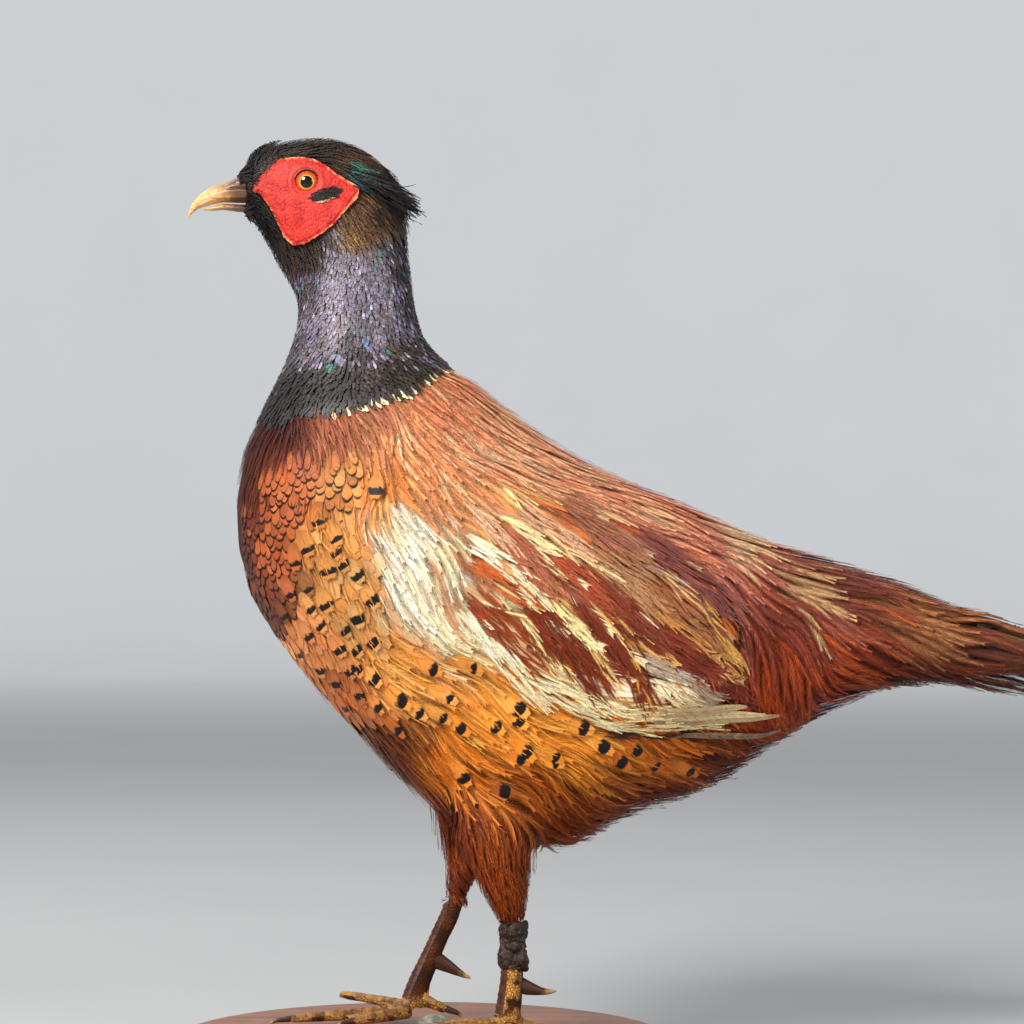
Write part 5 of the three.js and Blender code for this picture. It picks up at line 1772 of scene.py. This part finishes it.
def plate_colours(dark, light, pale):
    """Dry horn, each plate a little different, dark where the plate before it overlaps it: partly its seam's
    own colour, partly painted shade under that plate's rim.
    """
    def colours(net):
        across, along, _ = net.map("Plate")
        own = net.noise(net.join(net.math("FLOOR", across), 3.7), 0.9, 0.0)
        where = net.place()
        colour = net.blend(net.ramp(net.noise(where, 0.22, 3.0), 0.4, 0.62), dark, light)
        colour = net.blend(net.ramp(own, 0.4, 0.65, 0.0, 0.3), colour, pale)
        colour = net.blend(net.ramp(net.noise(where, 1.4, 2.0), 0.52, 0.66, 0.0, 0.6), colour, "3c2314")
        # Dark seam at the covered end, partly painted shade under the overlapping rim.
        return net.blend(net.ramp(along, 0.0, 0.25, 0.7, 0.0), colour, "24120a")
    return colours


PLATE_FINISHES = {  # colours, direction, and how far round the leg
    "toe": (plate_colours("5f391b", "9c6c34", "cf9c50"), (0, 0, 1.0), 1.0),
    "shank": (plate_colours("331609", "562b12", "6a3a18"), (-1.0, -0.1, 0), 0.72),
}
for part, (colours, face, reach) in PLATE_FINISHES.items():
    plates = []
    for name in sorted(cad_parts):
        if name.startswith(part):
            long = max(np.ptp(corners(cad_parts[name]), axis=0)) / MM
            plates += plate_row(centre_line(name, max(4, int(long / 3.4))), np.array(face), reach)
    finish = shader(f"{part} plates", colours, height=bumps(1.6, 3.0), depth=0.12, Roughness=0.45,
                    Specular_IOR_Level=0.3)
    finish_piece(plates_piece(f"{part}_plates", plates), finish, "scaled_leg")

# %% [markdown]
# ## Claws, spurs and mends
# Claws and spurs are horn, rounded here with a subdivision surface and sunk a little into the toe or shank.
# Which end is the tip is found by asking which is farther from the skin. A mend of black resin holds the near
# shank together, and a dab of putty seats one foot.

# %% Claws and spurs


def claw_colour(net):
    """Dark at the root and straw-coloured at the tip."""
    where = net.place()
    tip = net.split(net.attribute("Tip", "Vector"))[0]
    tip = net.times_plus(net.noise(where, 0.4, 2.0), 0.4, tip)
    colour = net.blend(net.ramp(tip, 0.75, 1.3), "3f2013", "c79b5e")
    return net.blend(net.ramp(net.noise(where, 1.5, 2.0), 0.52, 0.66, 0.0, 0.5), colour, "3a2013")


claw_horn = shader("claw horn", claw_colour, height=bumps(1.8, 2.0), depth=0.08, Roughness=0.35)
for name in sorted(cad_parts):
    if name.startswith(("claw_", "spur_")):
        horn = copy_of([name], f"horn_{name}")
        modify(horn, "SUBSURF", levels=2, render_levels=2)
        spots = corners(horn)
        tip = (spots - spots.mean(0)) @ np.linalg.svd(spots - spots.mean(0), full_matrices=False)[2][0]
        tip = (tip - tip.min()) / np.ptp(tip)
        ends = [tree.find_nearest(spots[i].tolist())[3] for i in (tip.argmin(), tip.argmax())]
        tip = tip if ends[0] < ends[1] else 1 - tip
        inward = unit(spots[tip.argmin()] - spots[tip.argmax()])
        sunk = np.clip(1 - tip / 0.35, 0, 1)[:, None]
        set_corners(horn, spots + inward * sunk * 2.2 * MM)
        paint(horn.data, "Tip", np.repeat(tip[:, None], 3, 1))
        smooth_shade(horn)
        finish_piece(horn, claw_horn, "horn", name)

# %% [markdown]
# The resin was daubed on and set hard, and the putty was pressed in with a thumb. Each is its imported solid,
# remeshed finely, with lumps of a few sizes raised on it by noise.

# %% Resin and putty


def lumpy(node, title, lumps):
    """A remeshed copy of a node, with lumps given as pairs of size and height in millimetres."""
    piece = copy_of([node], title)
    modify(piece, "REMESH", mode="VOXEL", voxel_size=0.5 * MM)
    modify(piece, "SMOOTH", factor=0.5, iterations=4)
    spots, out = corners(piece), corner_normals(piece)
    height = sum(high * np.array([noise.noise(Vector(p) / size) for p in spots / MM])
                 for size, high in lumps)
    set_corners(piece, spots + out * height[:, None] * MM)
    smooth_shade(piece)
    return piece


def resin_colour(net):
    where = net.place()
    colour = net.blend(net.ramp(net.noise(where, 0.5, 4.0), 0.42, 0.6), "15100e", "3d2a20")
    return net.blend(net.ramp(net.noise(where, 1.6, 2.0), 0.58, 0.68, 0.0, 0.6), colour, "7a5a42")


def putty_colour(net):
    where = net.place()
    colour = net.blend(net.ramp(net.noise(where, 0.25, 4.0), 0.4, 0.6), "6d7264", "98998a")
    return net.blend(net.ramp(net.noise(where, 1.4, 2.0), 0.56, 0.68, 0.0, 0.6), colour, "4b4a3f")


resin = shader("black resin", resin_colour, height=bumps(1.6, 3.0), depth=0.3, Roughness=0.5,
               Specular_IOR_Level=0.3)
putty = shader("putty", putty_colour, height=bumps(1.2, 3.0), depth=0.2, Roughness=0.8)
RESIN_LUMPS = ((6.5, 2.2), (2.6, 1.0), (1.1, 0.45))
PUTTY_LUMPS = ((3.5, 0.5), (1.3, 0.2))
finish_piece(lumpy("resin_left_shank", "resin_mend", RESIN_LUMPS), resin, "resin", "resin_left_shank")
finish_piece(lumpy("putty_right_foot", "putty_dab", PUTTY_LUMPS), putty, "putty", "putty_right_foot")

# %% [markdown]
# ## The base
# A turned disc of wood with its upper edge eased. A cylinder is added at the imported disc's size, its rims are
# bevelled, and the grain runs straight across it, under a thin pale dust.

# %% Base
bpy.ops.object.select_all(action="DESELECT")
bpy.ops.mesh.primitive_cylinder_add(vertices=160, radius=(base_high.x - base_low.x) / 2,
                                    depth=base_high.z - base_low.z, location=(base_low + base_high) / 2)
base = bpy.context.object
base.name = "turned_base"
rest_at_origin(base)
modify(base, "BEVEL", width=3 * MM, segments=5, limit_method="ANGLE", angle_limit=math.radians(50))
smooth_shade(base, 40)


def wood_colour(net):
    where = net.place((0.02, 1.0, 1.0))
    bands = net.noise(where, 0.11, 4.0, 0.6)
    fine = net.noise(net.place((0.012, 1.0, 1.0)), 1.2, 3.0)
    colour = net.blend(net.ramp(bands, 0.4, 0.62), "8f532e", "764224")
    colour = net.blend(net.ramp(fine, 0.48, 0.66, 0.0, 0.35), colour, "52301c")
    dust = net.ramp(net.noise(net.place(), 0.06, 4.0), 0.5, 0.66, 0.0, 0.3)
    return net.blend(dust, colour, "a07652")


wood = shader("turned wood", wood_colour, height=bumps(1.2, 3.0, (0.012, 1, 1)), depth=0.1, Roughness=0.42)
finish_piece(base, wood, "base_wood", "stand_base")

# %% [markdown]
# ## Floor and backdrop
# The specimen stands in a pale round cove, as in a studio: a floor that turns up into a low wall all round,
# with a wide curve between, so that there is a backdrop from every side. Extruding only the rim's edges
# leaves the floor where it is. A studio's wall has lamps of its own, out of sight; here it glows a little
# instead.

# %% Floor and backdrop
COVE_RADIUS, COVE_HEIGHT, COVE_CURVE = 6.2, 2.4, 1.8
WALL_GLOW = 0.38
bpy.ops.object.select_all(action="DESELECT")
bpy.ops.mesh.primitive_circle_add(vertices=128, radius=COVE_RADIUS, fill_type="NGON", location=(0, 0, 0))
sweep = bpy.context.object
sweep.name = "sweep"
only(sweep)
bpy.ops.object.mode_set(mode="EDIT")
bpy.ops.mesh.select_mode(type="EDGE")
bpy.ops.mesh.select_all(action="SELECT")
bpy.ops.mesh.extrude_edges_move(TRANSFORM_OT_translate={"value": (0, 0, COVE_HEIGHT)})
bpy.ops.mesh.select_all(action="DESELECT")
bpy.ops.object.mode_set(mode="OBJECT")
modify(sweep, "BEVEL", width=COVE_CURVE, segments=20, use_clamp_overlap=False, limit_method="ANGLE")
edit(sweep, lambda: bpy.ops.mesh.normals_make_consistent(inside=True))
print("the floor faces up:", sweep.data.polygons[0].normal.z > 0.9)
smooth_shade(sweep)


def wall_glow(net):
    """Dark near the specimen, and paler the farther out."""
    away = net.node("VectorMath", {0: net.place((1, 1, 0))}, operation="LENGTH").outputs["Value"]
    return net.blend(net.ramp(away, 1800.0, 5600.0), "000000", "f4f7fa")


paper, net, sockets = new_material("paper sweep", Roughness=0.9, Emission_Strength=WALL_GLOW)
net.put(sockets["Base Color"], net.blend(net.noise(net.place(), 0.004, 3.0), "aeb0b2", "b7b9ba"))
net.put(sockets["Emission Color"], wall_glow(net))
sweep.data.materials.append(paper)

# %% [markdown]
# ## Light
# A large soft light stands high at the front left. A weaker one fills the shadows from the right, another
# lights the back, and a dim even world softens what is left.

# %% Lights and world
LIGHTS = {  # place, size, power and colour
    "key": ((-1.3, -1.9, 1.9), 1.0, 104, (1.0, 0.97, 0.93)),
    "fill": ((2.4, -2.0, 1.3), 0.9, 20, (0.93, 0.96, 1.0)),
    "back": ((-0.6, 1.0, 1.9), 1.4, 16, (1.0, 1.0, 1.0)),
}
for name, (place, size, power, colour) in LIGHTS.items():
    data = bpy.data.lights.new(name, "AREA")
    data.size = size
    data.energy = power
    data.color = colour
    light = bpy.data.objects.new(name, data)
    light.location = place
    light.rotation_euler = (Vector((0.05, 0, 0.25)) - Vector(place)).to_track_quat("-Z", "Y").to_euler()
    show(light)
world = bpy.data.worlds.new("studio")
world.use_nodes = True
world.node_tree.nodes["Background"].inputs["Color"].default_value = (0.95, 0.96, 0.98, 1)
world.node_tree.nodes["Background"].inputs["Strength"].default_value = 0.36
bpy.context.scene.world = world
bpy.context.scene.view_settings.view_transform = "Standard"
print(len(LIGHTS), "lights")
